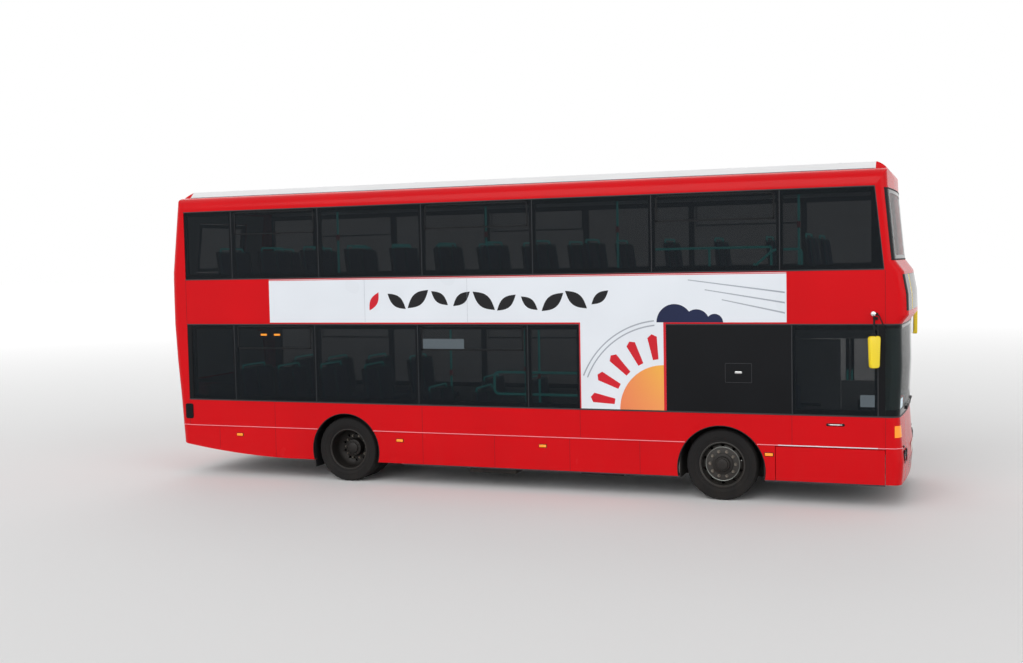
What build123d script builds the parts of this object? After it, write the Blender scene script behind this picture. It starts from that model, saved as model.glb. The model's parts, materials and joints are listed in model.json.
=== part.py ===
"""Low-floor two-axle double decker bus, right-hand drive, in millimetres.

+X points forward, +Y to the kerb side (the nearside, where the doors are), +Z up.
The origin is on the ground, under the middle of the bus. The driver sits on the
offside (-Y), and the engine stands across the tail.
"""
import math
import os

from build123d import *

os.makedirs("parts", exist_ok=True)

# Overall size
LENGTH = 10870
WIDTH = 2550
HEIGHT = 4350
WHEELBASE = 5500
FRONT_OVERHANG = 2375
HALF_WIDTH = WIDTH / 2
NOSE_X = LENGTH / 2
FRONT_AXLE_X = NOSE_X - FRONT_OVERHANG
REAR_AXLE_X = FRONT_AXLE_X - WHEELBASE

# Heights of the body's horizontal joints
SKIRT_Z = 309
FLAP_TOP_Z = 745
MOULDING_Z = 764
MOULDING_R = 8
LOWER_SILL_Z = 1160
LOWER_HEAD_Z = 2308
UPPER_SILL_Z = 2990
UPPER_HEAD_Z = 4014

# Walls: a side is one panel thick, with the glass flush in its outer face
WALL = 60
GLASS = 8
PANE_GAP = 8
INNER_Y = HALF_WIDTH - WALL
REACH = 30

# Plan form: corner radii, and how far the front and rear faces bow out
FRONT_CORNER_R = 130
REAR_CORNER_R = 120
FRONT_BOW = 50
REAR_BOW = 28

# Body sections, from skirt to roof. Columns: height, front face x, rear face x
BODY_SECTIONS = (
    (SKIRT_Z, 5350, -5303),
    (600, 5373, -5323),
    (771, 5353, -5335),
    (LOWER_SILL_Z, 5327, -5357),
    (1740, 5357, -5405),
    (LOWER_HEAD_Z, 5350, -5435),
    (2420, 5435, -5435),
    (2680, 5427, -5435),
    (2960, 5377, -5432),
    (3100, 5273, -5428),
    (UPPER_HEAD_Z, 5185, -5320),
    (4400, 5168, -5270),
)

# Roof: coves along the sides, a crowned middle, rounded front and rear domes
COVE_R = 200
COVE_Z = 4040
SHOULDER_Y = 985
SHOULDER_Z = 4330
FRONT_DOME_R = 290
REAR_DOME_R = 290
FRONT_DOME_X = 5185
REAR_DOME_X = -5300

# Front and rear ends of the side walls
FRONT_JOINT_X = FRONT_AXLE_X + 2050
REAR_JOINT_X = FRONT_AXLE_X - 8190

# The front joint rakes back beside the upper windows
RAKE_LOW_X = FRONT_JOINT_X - 15
RAKE_TOP_X = FRONT_AXLE_X + 1925

# Wheel arches. Columns: axle x, height of the arch's centre, radius
ARCHES = ((FRONT_AXLE_X, 417, 573), (REAR_AXLE_X, 460, 542))

# The skirt sweeps up behind the rear wheels: start, middle and end, as x and z
TAIL_SWEEP = ((FRONT_AXLE_X - 6500, SKIRT_Z), (FRONT_AXLE_X - 7500, 372), (FRONT_AXLE_X - 8500, 515))

# Wheels and tyres
WHEEL_Z = 470
TYRE_R = 470
TYRE_W = 275
TYRE_SHOULDER = 26
TYRE_CROWN = 60
RIM_R = 292
RIM_W = 210
WHEEL_Y = 1080
TWIN_PITCH = 312
TWIN_OUTER_Y = 1085
STUD_COUNT = 10
STUD_PCD = 335
STUD_R = 11
HUB_R = 138
SPINDLE_R = 40
RUN_FIT = 0.05

# Steering. The front wheels lean out at the top, and stand on their outer treads
KINGPIN_Y = 990
KINGPIN_R = 25
CAMBER = math.radians(0.5)
FRONT_WHEEL_Z = TYRE_R * math.cos(CAMBER) + (TYRE_W / 2 - TYRE_CROWN) * math.sin(CAMBER)

# Floors
FLOOR_T = 60
LOW_FLOOR_Z = 340
REAR_FLOOR_Z = 620
FLOOR_STEP_X = REAR_AXLE_X + 880
UPPER_FLOOR_Z = 2400
WHEEL_BOX_Y = 600
WHEEL_BOX_HALF = 560
WHEEL_BOX_TOP = 985
SHEET = 15
ENGINE_BULKHEAD_X = -4300
ENGINE_SHELF_Z = 1420

# Stairwell on the offside, and the stair's ends. It climbs forward
STAIR_OUT_Y = -INNER_Y + 10
STAIR_IN_Y = -600
STAIR_FOOT_X = FRONT_AXLE_X - 1820
STAIR_HEAD_X = FRONT_AXLE_X + 620
WELL_REAR_X = FRONT_AXLE_X - 1150
STAIR_STEPS = 9
STAIR_T = 60

# Cab
CAB_WALL_X = FRONT_AXLE_X + 660
CAB_SIDE_Y = -150
CAB_FLOOR_Z = 520
CAB_DOOR_W = 690
CAB_DOOR_T = 30
CAB_WALL_TOP_Z = 2250

# Doorways in the nearside. Columns: name, rear edge x, front edge x
DOORWAYS = (
    ("front", FRONT_AXLE_X + 800, FRONT_AXLE_X + 2020),
    ("centre", FRONT_AXLE_X - 2600, FRONT_AXLE_X - 1350),
)
DOOR_SILL_Z = 350
DOOR_HEAD_Z = 2262
LEAF_T = 40
LEAF_GAP = 12
LEAF_Y = HALF_WIDTH - 30

# Side windows. Columns: first x and last x of each pane, from the front axle
UPPER_PANES = ((-8190, -7350), (-7350, -5870), (-5870, -4210), (-4210, -2550), (-2550, -890),
               (-890, 770), (770, 2050))
OFFSIDE_PANES = ((-8105, -7350), (-7350, -5963), (-5963, -4303), (-4303, -2643),
                 (-2643, -1900), (916, 1961))
NEARSIDE_PANES = ((-8105, -7350), (-7350, -5963), (-5963, -4303), (-4303, -2643),
                  (-1310, -270), (-270, 760))
BAR_HALF = 40
RAIL_H = 70

# Black panels in the lower glass line. Columns: side sign, first x, last x
BLANKS = ((-1, -1900, 916), (-1, -8190, -8105), (-1, 1961, 2050), (1, -8190, -8105))

# Upper emergency window and engine cover in the tail
EXIT_HALF = 640
EXIT_LOW_Z = 3100
EXIT_TOP_Z = 3860
EXIT_FRAME = 60
COVER_HALF = 850
COVER_LOW_Z = 560
COVER_TOP_Z = 1290
LID_GAP = 8

# Skirt flap ahead of the offside front wheel
FLAP_START_X = FRONT_AXLE_X + 705
FLAP_END_X = FRONT_JOINT_X - LID_GAP

# Front glass and displays
SCREEN_HALF = 1130
UPPER_SCREEN_HALF = 1235
UPPER_OPENING_HALF = 1080
UPPER_SCREEN_Z = (3108, 3985)
DISPLAY_HALF = 1225
DISPLAY_REAR_X = 5260
DISPLAY_Z = (2475, 2925)
REAR_DISPLAY_HALF = 330
REAR_DISPLAY_Z = (2560, 2880)

# Round lamps. Columns: distance from the centre line, height, radius
HEADLAMPS = ((860, 640, 82), (1045, 640, 82))
TAIL_LAMPS = ((1040, 960, 60), (1040, 1110, 60), (1040, 1260, 60), (1040, 2120, 50))

# Amber side markers: distance from the front axle
SIDE_MARKERS = (620, -2447, -4620, -7300)
MARKER_Z = 640

# Corner indicator: x low, x high, y low, z low, z high
INDICATOR = (FRONT_AXLE_X + 2158, FRONT_AXLE_X + 2290, 1130, 903, 1047)

# Seats
SEAT_W = 860
SEAT_D = 430
SEAT_H = 440
SEAT_BACK_H = 1010
SEAT_BACK_T = 60
SEAT_Y = 765
SEAT_PITCH = 730

DIAGONAL = math.sqrt(0.5)
SIDES = (("offside", -1), ("nearside", 1))


def block(x_low, x_high, y_low, y_high, z_low, z_high, mode=Mode.ADD):
    """A plain block between two corners, in the part that is being built."""
    middle = ((x_low + x_high) / 2, (y_low + y_high) / 2, (z_low + z_high) / 2)
    with Locations(middle):
        Box(x_high - x_low, y_high - y_low, z_high - z_low, mode=mode)


def rod(start, end, radius, mode=Mode.ADD):
    """A round bar from one point to another, in the part that is being built."""
    line = Vector(*end) - Vector(*start)
    middle = (Vector(*start) + Vector(*end)) * 0.5
    with Locations(Plane(origin=middle, z_dir=line)):
        Cylinder(radius, line.length, mode=mode)


def across(sign, low, high):
    """The two y values of a slice on one side, from its distances to the centre line."""
    return (low, high) if sign > 0 else (-high, -low)


def export(part, name):
    """Label a finished piece and write its STEP file."""
    part.label = name
    export_step(part, f"parts/{name}.step")


def plan_face(height, front, rear, inset):
    """One level of the bodywork's plan: straight sides, round corners, bowed ends."""
    half = HALF_WIDTH - inset
    front_r, rear_r = FRONT_CORNER_R - inset, REAR_CORNER_R - inset
    nose, tail = front - inset, rear + inset
    corner, heel = nose - FRONT_BOW, tail + REAR_BOW
    front_cut, rear_cut = front_r * (1 - DIAGONAL), rear_r * (1 - DIAGONAL)
    with BuildSketch(Plane.XY.offset(height)) as plan:
        with BuildLine():
            Line((heel + rear_r, -half), (corner - front_r, -half))
            ThreePointArc((corner - front_r, -half), (corner - front_cut, front_cut - half),
                          (corner, front_r - half))
            ThreePointArc((corner, front_r - half), (nose, 0), (corner, half - front_r))
            ThreePointArc((corner, half - front_r), (corner - front_cut, half - front_cut),
                          (corner - front_r, half))
            Line((corner - front_r, half), (heel + rear_r, half))
            ThreePointArc((heel + rear_r, half), (heel + rear_cut, half - rear_cut),
                          (heel, half - rear_r))
            ThreePointArc((heel, half - rear_r), (tail, 0), (heel, rear_r - half))
            ThreePointArc((heel, rear_r - half), (heel + rear_cut, rear_cut - half),
                          (heel + rear_r, -half))
        make_face()
    return plan.sketch


def body_form(inset):
    """The closed form of the bodywork, with every face moved in by the inset."""
    half, top = HALF_WIDTH - inset, HEIGHT - inset
    cove = COVE_R - inset
    cove_y, cove_top = half - cove, COVE_Z + cove
    shoulder_y, shoulder_z = SHOULDER_Y - 0.4 * inset, SHOULDER_Z - inset
    dome_f, dome_r = FRONT_DOME_R - inset / 2, REAR_DOME_R - inset / 2
    nose, tail = FRONT_DOME_X - inset, REAR_DOME_X + inset
    with BuildPart() as form:
        loft([plan_face(*row, inset) for row in BODY_SECTIONS], ruled=True)
        with BuildSketch(Plane.YZ):
            with BuildLine():
                Polyline((-half, COVE_Z), (-half - REACH, COVE_Z), (-half - REACH, 0),
                         (half + REACH, 0), (half + REACH, COVE_Z), (half, COVE_Z))
                ThreePointArc((half, COVE_Z), (cove_y + cove * DIAGONAL, COVE_Z + cove * DIAGONAL),
                              (cove_y, cove_top))
                Line((cove_y, cove_top), (shoulder_y, shoulder_z))
                ThreePointArc((shoulder_y, shoulder_z), (0, top), (-shoulder_y, shoulder_z))
                Line((-shoulder_y, shoulder_z), (-cove_y, cove_top))
                ThreePointArc((-cove_y, cove_top),
                              (-cove_y - cove * DIAGONAL, COVE_Z + cove * DIAGONAL),
                              (-half, COVE_Z))
            make_face()
        extrude(amount=LENGTH, both=True, mode=Mode.INTERSECT)
        with BuildSketch(Plane.XZ):
            with BuildLine():
                ThreePointArc((nose, top - dome_f),
                              (nose - dome_f * (1 - DIAGONAL), top - dome_f * (1 - DIAGONAL)),
                              (nose - dome_f, top))
                Line((nose - dome_f, top), (tail + dome_r, top))
                ThreePointArc((tail + dome_r, top),
                              (tail + dome_r * (1 - DIAGONAL), top - dome_r * (1 - DIAGONAL)),
                              (tail, top - dome_r))
                Polyline((tail, top - dome_r), (-LENGTH, top - dome_r), (-LENGTH, 0), (LENGTH, 0),
                         (LENGTH, top - dome_f), (nose, top - dome_f))
            make_face()
        extrude(amount=WIDTH, both=True, mode=Mode.INTERSECT)
    return form.part


outer_form = body_form(0)
glass_form = body_form(GLASS)
inner_form = body_form(WALL)


def shell(outside, inside, x_range, y_range, z_range):
    """The stretch of wall between two body forms that lies inside a box."""
    with BuildPart() as wall:
        block(*x_range, *y_range, *z_range)
        add(outside, mode=Mode.INTERSECT)
        add(inside, mode=Mode.SUBTRACT)
    return wall.part


FULL_Y = (-WIDTH, WIDTH)
SIDE_X = (REAR_JOINT_X, FRONT_JOINT_X)
FRONT_X = (FRONT_JOINT_X, LENGTH)
REAR_X = (-LENGTH, REAR_JOINT_X)


def side_y(sign):
    """The y range that holds one side wall."""
    return across(sign, INNER_Y - REACH, HALF_WIDTH + REACH)


# All that lies behind the front joint, which rakes back beside the upper windows
with BuildPart() as behind_joint:
    with BuildSketch(Plane.XZ):
        Polygon((-LENGTH, 0), (FRONT_JOINT_X, 0), (FRONT_JOINT_X, UPPER_SILL_Z), (RAKE_LOW_X, UPPER_SILL_Z),
                (RAKE_TOP_X, UPPER_HEAD_Z), (-LENGTH, UPPER_HEAD_Z), align=None)
    extrude(amount=WIDTH, both=True)

# What the upswept tail of the skirt takes away
with BuildPart() as tail_sweep:
    with BuildSketch(Plane.XZ):
        with BuildLine():
            ThreePointArc(*TAIL_SWEEP)
            Polyline(TAIL_SWEEP[2], (TAIL_SWEEP[2][0], 0), (TAIL_SWEEP[0][0], 0), TAIL_SWEEP[0])
        make_face()
    extrude(amount=WIDTH, both=True)

# Lower side panels, from the skirt to the window sill, with arches and doorways cut
for side, sign in SIDES:
    wall = shell(outer_form, inner_form, SIDE_X, side_y(sign), (SKIRT_Z, LOWER_SILL_Z))
    with BuildPart() as lower_panels:
        add(wall)
        rod((REAR_JOINT_X, sign * HALF_WIDTH, MOULDING_Z), (FRONT_JOINT_X, sign * HALF_WIDTH, MOULDING_Z),
            MOULDING_R)
        for axle_x, centre_z, radius in ARCHES:
            rod((axle_x, -WIDTH, centre_z), (axle_x, WIDTH, centre_z), radius, mode=Mode.SUBTRACT)
        add(tail_sweep.part, mode=Mode.SUBTRACT)
        if sign > 0:
            for name, rear_x, front_x in DOORWAYS:
                block(rear_x, front_x, *side_y(sign), DOOR_SILL_Z, LOWER_HEAD_Z, mode=Mode.SUBTRACT)
        else:
            block(FLAP_START_X - LID_GAP, FRONT_JOINT_X + 5, *side_y(sign), 0, FLAP_TOP_Z + LID_GAP,
                  mode=Mode.SUBTRACT)
    export(lower_panels.part, f"{side}_lower_panels")

# Skirt flap, hinged along its top edge
skirt_flap = shell(outer_form, inner_form, (FLAP_START_X, FLAP_END_X), side_y(-1), (SKIRT_Z, FLAP_TOP_Z))
export(skirt_flap, "skirt_flap")


def window_frame(sign, panes, z_low, z_high, end_x):
    """Pillars and rails of one side and one deck, behind the flush glass."""
    wall = shell(glass_form, inner_form, SIDE_X, side_y(sign), (z_low, z_high))
    with BuildPart() as frame:
        add(wall)
        add(behind_joint.part, mode=Mode.INTERSECT)
        for rear_x, front_x in panes:
            bay_front = min(FRONT_AXLE_X + front_x, end_x) - BAR_HALF
            block(FRONT_AXLE_X + rear_x + BAR_HALF, bay_front, *side_y(sign), z_low + RAIL_H,
                  z_high - RAIL_H, mode=Mode.SUBTRACT)
        if sign > 0 and z_low == LOWER_SILL_Z:
            for name, rear_x, front_x in DOORWAYS:
                block(rear_x, front_x, *side_y(sign), 0, DOOR_HEAD_Z, mode=Mode.SUBTRACT)
    return frame.part


def glass_panes(rows, z_low, z_high):
    """Flush panes. Columns of the rows: side sign, first x, last x from the front axle."""
    with BuildPart() as glass:
        for sign, rear_x, front_x in rows:
            block(FRONT_AXLE_X + rear_x + PANE_GAP / 2, FRONT_AXLE_X + front_x - PANE_GAP / 2,
                  *across(sign, HALF_WIDTH - GLASS, HALF_WIDTH), z_low + PANE_GAP / 2,
                  z_high - PANE_GAP / 2)
        add(behind_joint.part, mode=Mode.INTERSECT)
    return glass.part


# Window frames of each deck, two to a node, and the glass in front of them
LOWER_PANES = {-1: OFFSIDE_PANES, 1: NEARSIDE_PANES}
with BuildPart() as lower_frames:
    add([window_frame(sign, LOWER_PANES[sign], LOWER_SILL_Z, LOWER_HEAD_Z, FRONT_JOINT_X)
         for side, sign in SIDES])
export(lower_frames.part, "lower_window_frames")
with BuildPart() as upper_frames:
    add([window_frame(sign, UPPER_PANES, UPPER_SILL_Z, UPPER_HEAD_Z, RAKE_TOP_X) for side, sign in SIDES])
export(upper_frames.part, "upper_window_frames")

lower_rows = [(sign, *pane) for side, sign in SIDES for pane in LOWER_PANES[sign]]
upper_rows = [(sign, *pane) for side, sign in SIDES for pane in UPPER_PANES]
with BuildPart() as side_glazing:
    add(glass_panes(lower_rows, LOWER_SILL_Z, LOWER_HEAD_Z))
    add(glass_panes(upper_rows, UPPER_SILL_Z, UPPER_HEAD_Z))
export(side_glazing.part, "side_glazing")
export(glass_panes(BLANKS, LOWER_SILL_Z, LOWER_HEAD_Z), "blank_panels")

# Bands between the decks, one each side
side_bands = shell(outer_form, inner_form, SIDE_X, FULL_Y, (LOWER_HEAD_Z, UPPER_SILL_Z))
export(side_bands, "side_bands")

# Roof: the crowned panel, the coves beside it, and the domes that close both ends
ROOF_X = (REAR_JOINT_X, RAKE_TOP_X)
COVE_IN_Y = HALF_WIDTH - COVE_R
ROOF_Z = (UPPER_HEAD_Z, HEIGHT + REACH)
export(shell(outer_form, inner_form, ROOF_X, (-COVE_IN_Y, COVE_IN_Y), ROOF_Z), "roof_panel")
with BuildPart() as coves:
    add([shell(outer_form, inner_form, ROOF_X, across(sign, COVE_IN_Y, WIDTH), ROOF_Z)
         for side, sign in SIDES])
export(coves.part, "roof_coves")
with BuildPart() as domes:
    add([shell(outer_form, inner_form, dome_x, FULL_Y, ROOF_Z)
         for dome_x in ((-LENGTH, REAR_JOINT_X), (RAKE_TOP_X, LENGTH))])
export(domes.part, "roof_domes")


def round_lamps(rows, x_range):
    """Round lamps on both sides, cut off flush with the bodywork."""
    with BuildPart() as lamps:
        for y, z, radius in rows:
            for sign in (-1, 1):
                rod((x_range[0], sign * y, z), (x_range[1], sign * y, z), radius)
        add(outer_form, mode=Mode.INTERSECT)
    return lamps.part


# Front lower panel, with its lamps let into it
headlamps = round_lamps(HEADLAMPS, (5270, LENGTH))
with BuildPart() as corner_indicators:
    for side, sign in SIDES:
        block(INDICATOR[0], INDICATOR[1], *across(sign, INDICATOR[2], HALF_WIDTH + REACH), *INDICATOR[3:])
    add(outer_form, mode=Mode.INTERSECT)
dash_wall = shell(outer_form, inner_form, FRONT_X, FULL_Y, (SKIRT_Z, LOWER_SILL_Z))
with BuildPart() as dash_panel:
    add(dash_wall)
    add(headlamps, mode=Mode.SUBTRACT)
    add(corner_indicators.part, mode=Mode.SUBTRACT)
export(dash_panel.part, "front_dash_panel")
export(headlamps, "headlamps")

# Amber lamps: the corner indicators and the small side markers
with BuildPart() as side_lamps:
    add(corner_indicators.part)
    for offset_x in SIDE_MARKERS:
        for side, sign in SIDES:
            x = FRONT_AXLE_X + offset_x
            block(x - 50, x + 50, *across(sign, HALF_WIDTH, HALF_WIDTH + 10), MARKER_Z - 18, MARKER_Z + 18)
export(side_lamps.part, "side_lamps")

# Lower windscreen: one wrap-round glass on a frame of its own
windscreen = shell(outer_form, glass_form, FRONT_X, FULL_Y, (LOWER_SILL_Z + 4, LOWER_HEAD_Z - 4))
export(windscreen, "windscreen")
screen_wall = shell(glass_form, inner_form, FRONT_X, FULL_Y, (LOWER_SILL_Z, LOWER_HEAD_Z))
with BuildPart() as screen_frame:
    add(screen_wall)
    block(FRONT_JOINT_X + 60, LENGTH, -SCREEN_HALF, SCREEN_HALF, LOWER_SILL_Z + RAIL_H,
          LOWER_HEAD_Z - RAIL_H, mode=Mode.SUBTRACT)
export(screen_frame.part, "windscreen_frame")

# Front moulding above the windscreen: display surround and upper window surround
UPPER_Z = (LOWER_HEAD_Z, UPPER_HEAD_Z)
upper_screen = shell(outer_form, glass_form, (5000, LENGTH), (-UPPER_SCREEN_HALF, UPPER_SCREEN_HALF),
                     UPPER_SCREEN_Z)
front_display = shell(outer_form, inner_form, (DISPLAY_REAR_X, LENGTH), (-DISPLAY_HALF, DISPLAY_HALF),
                      DISPLAY_Z)
front_wall = shell(outer_form, inner_form, (RAKE_TOP_X, LENGTH), FULL_Y, UPPER_Z)
with BuildPart() as front_band:
    add(front_wall)
    add(behind_joint.part, mode=Mode.SUBTRACT)
    add(upper_screen, mode=Mode.SUBTRACT)
    block(5000, LENGTH, -UPPER_OPENING_HALF, UPPER_OPENING_HALF, UPPER_SCREEN_Z[0] + 50,
          UPPER_SCREEN_Z[1] - 50, mode=Mode.SUBTRACT)
    block(DISPLAY_REAR_X, LENGTH, -DISPLAY_HALF, DISPLAY_HALF, *DISPLAY_Z, mode=Mode.SUBTRACT)
export(front_band.part, "front_band")
export(upper_screen, "upper_windscreen")

# Rear panels, with the engine cover, the lamps and the emergency window let in
tail_lamps = round_lamps(TAIL_LAMPS, (-LENGTH, -5290))
rear_wall = shell(outer_form, inner_form, REAR_X, FULL_Y, (SKIRT_Z, LOWER_HEAD_Z))
with BuildPart() as rear_lower:
    add(rear_wall)
    add(tail_sweep.part, mode=Mode.SUBTRACT)
    block(-LENGTH, -5000, -COVER_HALF - LID_GAP, COVER_HALF + LID_GAP, COVER_LOW_Z - LID_GAP,
          COVER_TOP_Z + LID_GAP, mode=Mode.SUBTRACT)
    add(tail_lamps, mode=Mode.SUBTRACT)
export(rear_lower.part, "rear_lower_panel")
export(tail_lamps, "tail_lamps")

cover_wall = shell(outer_form, inner_form, REAR_X, (-COVER_HALF, COVER_HALF), (COVER_LOW_Z, COVER_TOP_Z))
with BuildPart() as engine_cover:
    add(cover_wall)
    for row in range(6):
        for sign in (-1, 1):
            z = 700 + 80 * row
            block(-LENGTH, -5000, *across(sign, 90, 740), z - 18, z + 18, mode=Mode.SUBTRACT)
export(engine_cover.part, "engine_cover")

rear_upper_wall = shell(outer_form, inner_form, REAR_X, FULL_Y, UPPER_Z)
rear_display = shell(glass_form, inner_form, (-LENGTH, -5000), (-REAR_DISPLAY_HALF, REAR_DISPLAY_HALF),
                     REAR_DISPLAY_Z)
with BuildPart() as rear_upper:
    add(rear_upper_wall)
    block(-LENGTH, -5000, -EXIT_HALF - LID_GAP, EXIT_HALF + LID_GAP, EXIT_LOW_Z - LID_GAP,
          EXIT_TOP_Z + LID_GAP, mode=Mode.SUBTRACT)
    block(-LENGTH, -5000, -REAR_DISPLAY_HALF, REAR_DISPLAY_HALF, *REAR_DISPLAY_Z, mode=Mode.SUBTRACT)
export(rear_upper.part, "rear_upper_panel")

exit_y, exit_z = (-EXIT_HALF, EXIT_HALF), (EXIT_LOW_Z, EXIT_TOP_Z)
exit_glass = shell(outer_form, glass_form, REAR_X, exit_y, exit_z)
export(exit_glass, "emergency_window")
exit_wall = shell(glass_form, inner_form, REAR_X, exit_y, exit_z)
with BuildPart() as exit_frame:
    add(exit_wall)
    block(-LENGTH, -5000, EXIT_FRAME - EXIT_HALF, EXIT_HALF - EXIT_FRAME, EXIT_LOW_Z + EXIT_FRAME,
          EXIT_TOP_Z - EXIT_FRAME, mode=Mode.SUBTRACT)
export(exit_frame.part, "emergency_window_frame")

# Blank displays: front, rear, and one inside the first nearside window
with BuildPart() as displays:
    add(front_display)
    add(rear_display)
    block(FRONT_AXLE_X + 40, FRONT_AXLE_X + 700, INNER_Y - 40, INNER_Y, 1990, 2200)
export(displays.part, "destination_displays")

# Chassis: a ladder under the low floor and a higher one under the engine, bolted end to end
RAIL_Y, RAIL_W = 370, 60
RAIL_LOW_Z, TAIL_RAIL_Z = (200, 280), (340, 430)
RAIL_STEP_X = -3050
BOLTED_GAP = 0.3
TOW_EYE_R = 20
with BuildPart() as chassis:
    for sign in (-1, 1):
        rail_y = across(sign, RAIL_Y, RAIL_Y + RAIL_W)
        block(RAIL_STEP_X, 5150, *rail_y, *RAIL_LOW_Z)
        block(RAIL_STEP_X - RAIL_W, RAIL_STEP_X - BOLTED_GAP, *rail_y, RAIL_LOW_Z[0], TAIL_RAIL_Z[1])
        block(-5150, RAIL_STEP_X - RAIL_W, *rail_y, *TAIL_RAIL_Z)
    for x in (5090, 4150, 1900, 500, -900, -1900):
        block(x, x + 60, -RAIL_Y, RAIL_Y, *RAIL_LOW_Z)
    for x in (-3400, -5150):
        block(x, x + 60, -RAIL_Y, RAIL_Y, *TAIL_RAIL_Z)
    block(5150, 5190, -200, 200, *RAIL_LOW_Z)
    block(5190, 5290, 120, 150, *RAIL_LOW_Z)
    rod((5245, 100, 240), (5245, 170, 240), TOW_EYE_R, mode=Mode.SUBTRACT)
    block(-5240, -5150, -150, -120, *TAIL_RAIL_Z)
    rod((-5200, -170, 385), (-5200, -100, 385), TOW_EYE_R, mode=Mode.SUBTRACT)
export(chassis.part, "chassis_frame")

# Lower floor: the low slab up to the step, notched for the front wheel boxes
FRONT_BOX_X = (FRONT_AXLE_X - WHEEL_BOX_HALF, FRONT_AXLE_X + WHEEL_BOX_HALF)
REAR_BOX_X = (REAR_AXLE_X - WHEEL_BOX_HALF, REAR_AXLE_X + WHEEL_BOX_HALF)
with BuildPart() as lower_floor:
    block(FLOOR_STEP_X, 5100, -INNER_Y, INNER_Y, LOW_FLOOR_Z - FLOOR_T, LOW_FLOOR_Z)
    for side, sign in SIDES:
        block(*FRONT_BOX_X, *across(sign, WHEEL_BOX_Y, WIDTH), 0, LOW_FLOOR_Z, mode=Mode.SUBTRACT)
export(lower_floor.part, "lower_floor")

# Rear floor: the raised slab, notched for the rear wheel boxes, with its riser and a step
with BuildPart() as rear_floor:
    block(ENGINE_BULKHEAD_X, FLOOR_STEP_X, -INNER_Y, INNER_Y, REAR_FLOOR_Z - FLOOR_T, REAR_FLOOR_Z)
    for side, sign in SIDES:
        block(*REAR_BOX_X, *across(sign, WHEEL_BOX_Y, WIDTH), 0, REAR_FLOOR_Z, mode=Mode.SUBTRACT)
    block(FLOOR_STEP_X, FLOOR_STEP_X + SHEET, -INNER_Y, INNER_Y, LOW_FLOOR_Z, REAR_FLOOR_Z)
    block(FLOOR_STEP_X + SHEET, FLOOR_STEP_X + 300, -500, 500, LOW_FLOOR_Z, 480)
export(rear_floor.part, "rear_floor")

# Wheel boxes, one over each wheel, open below and towards the wheel
with BuildPart() as wheel_boxes:
    for box_x, floor_z in ((FRONT_BOX_X, LOW_FLOOR_Z), (REAR_BOX_X, REAR_FLOOR_Z)):
        for side, sign in SIDES:
            block(*box_x, *across(sign, WHEEL_BOX_Y, INNER_Y), floor_z - FLOOR_T, WHEEL_BOX_TOP + SHEET)
            block(box_x[0] + SHEET, box_x[1] - SHEET, *across(sign, WHEEL_BOX_Y + SHEET, INNER_Y), 0,
                  WHEEL_BOX_TOP, mode=Mode.SUBTRACT)
export(wheel_boxes.part, "wheel_boxes")

# Cab platform, and the bulkhead and shelf that box the engine in
with BuildPart() as cab_platform:
    block(CAB_WALL_X, 5100, -INNER_Y, CAB_SIDE_Y - 30, LOW_FLOOR_Z, CAB_FLOOR_Z)
export(cab_platform.part, "cab_platform")
with BuildPart() as engine_bulkhead:
    block(ENGINE_BULKHEAD_X - SHEET, ENGINE_BULKHEAD_X, -INNER_Y, INNER_Y, REAR_FLOOR_Z - FLOOR_T,
          ENGINE_SHELF_Z)
    block(-5180, ENGINE_BULKHEAD_X, -INNER_Y, INNER_Y, ENGINE_SHELF_Z, ENGINE_SHELF_Z + SHEET)
export(engine_bulkhead.part, "engine_bulkhead")

# Upper floor, with the stairwell cut
with BuildPart() as upper_floor:
    block(-5180, 5100, -INNER_Y, INNER_Y, UPPER_FLOOR_Z - FLOOR_T, UPPER_FLOOR_Z)
    block(WELL_REAR_X, STAIR_HEAD_X, -INNER_Y - REACH, STAIR_IN_Y + 10, UPPER_FLOOR_Z - FLOOR_T - 5,
          UPPER_FLOOR_Z + 5, mode=Mode.SUBTRACT)
export(upper_floor.part, "upper_floor")

# Straight staircase: treads and risers in one folded sheet, with a string each side
rise = (UPPER_FLOOR_Z - LOW_FLOOR_Z) / (STAIR_STEPS + 1)
going = (STAIR_HEAD_X - STAIR_FOOT_X) / (STAIR_STEPS + 1)
stair_line = []
for step in range(STAIR_STEPS):
    x = STAIR_FOOT_X + going * (step + 1)
    stair_line.append((x, LOW_FLOOR_Z + rise * step))
    stair_line.append((x, LOW_FLOOR_Z + rise * (step + 1)))
stair_line.append((STAIR_HEAD_X, LOW_FLOOR_Z + rise * STAIR_STEPS))
under = [(STAIR_HEAD_X, UPPER_FLOOR_Z - rise - STAIR_T),
         (STAIR_HEAD_X - going, UPPER_FLOOR_Z - 2 * rise - STAIR_T),
         (STAIR_FOOT_X + going + STAIR_T, LOW_FLOOR_Z)]
with BuildPart() as staircase:
    with BuildSketch(Plane.XZ.offset(-STAIR_IN_Y)):
        with BuildLine():
            Polyline(*stair_line, *under, close=True)
        make_face()
    extrude(amount=STAIR_IN_Y - STAIR_OUT_Y)
export(staircase.part, "staircase")


# Double seats facing forward: cushion and back in one section, on a pedestal or on a wheel box
def double_seat(pedestal):
    """A double seat with its front edge at x = 0, its middle at y = 0 and its foot at z = 0."""
    back_x = -SEAT_D
    with BuildPart() as seat:
        with BuildSketch(Plane.XZ):
            with BuildLine():
                Polyline((0, SEAT_H - 70), (0, SEAT_H), (back_x, SEAT_H - 20), (back_x - 75, SEAT_BACK_H),
                         (back_x - 75 - SEAT_BACK_T, SEAT_BACK_H), (back_x - SEAT_BACK_T, SEAT_H - 90),
                         close=True)
            make_face()
        extrude(amount=SEAT_W / 2, both=True)
        if pedestal:
            block(back_x + 40, -90, -30, 30, 0, SEAT_H - 75)
    return seat.part


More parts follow.
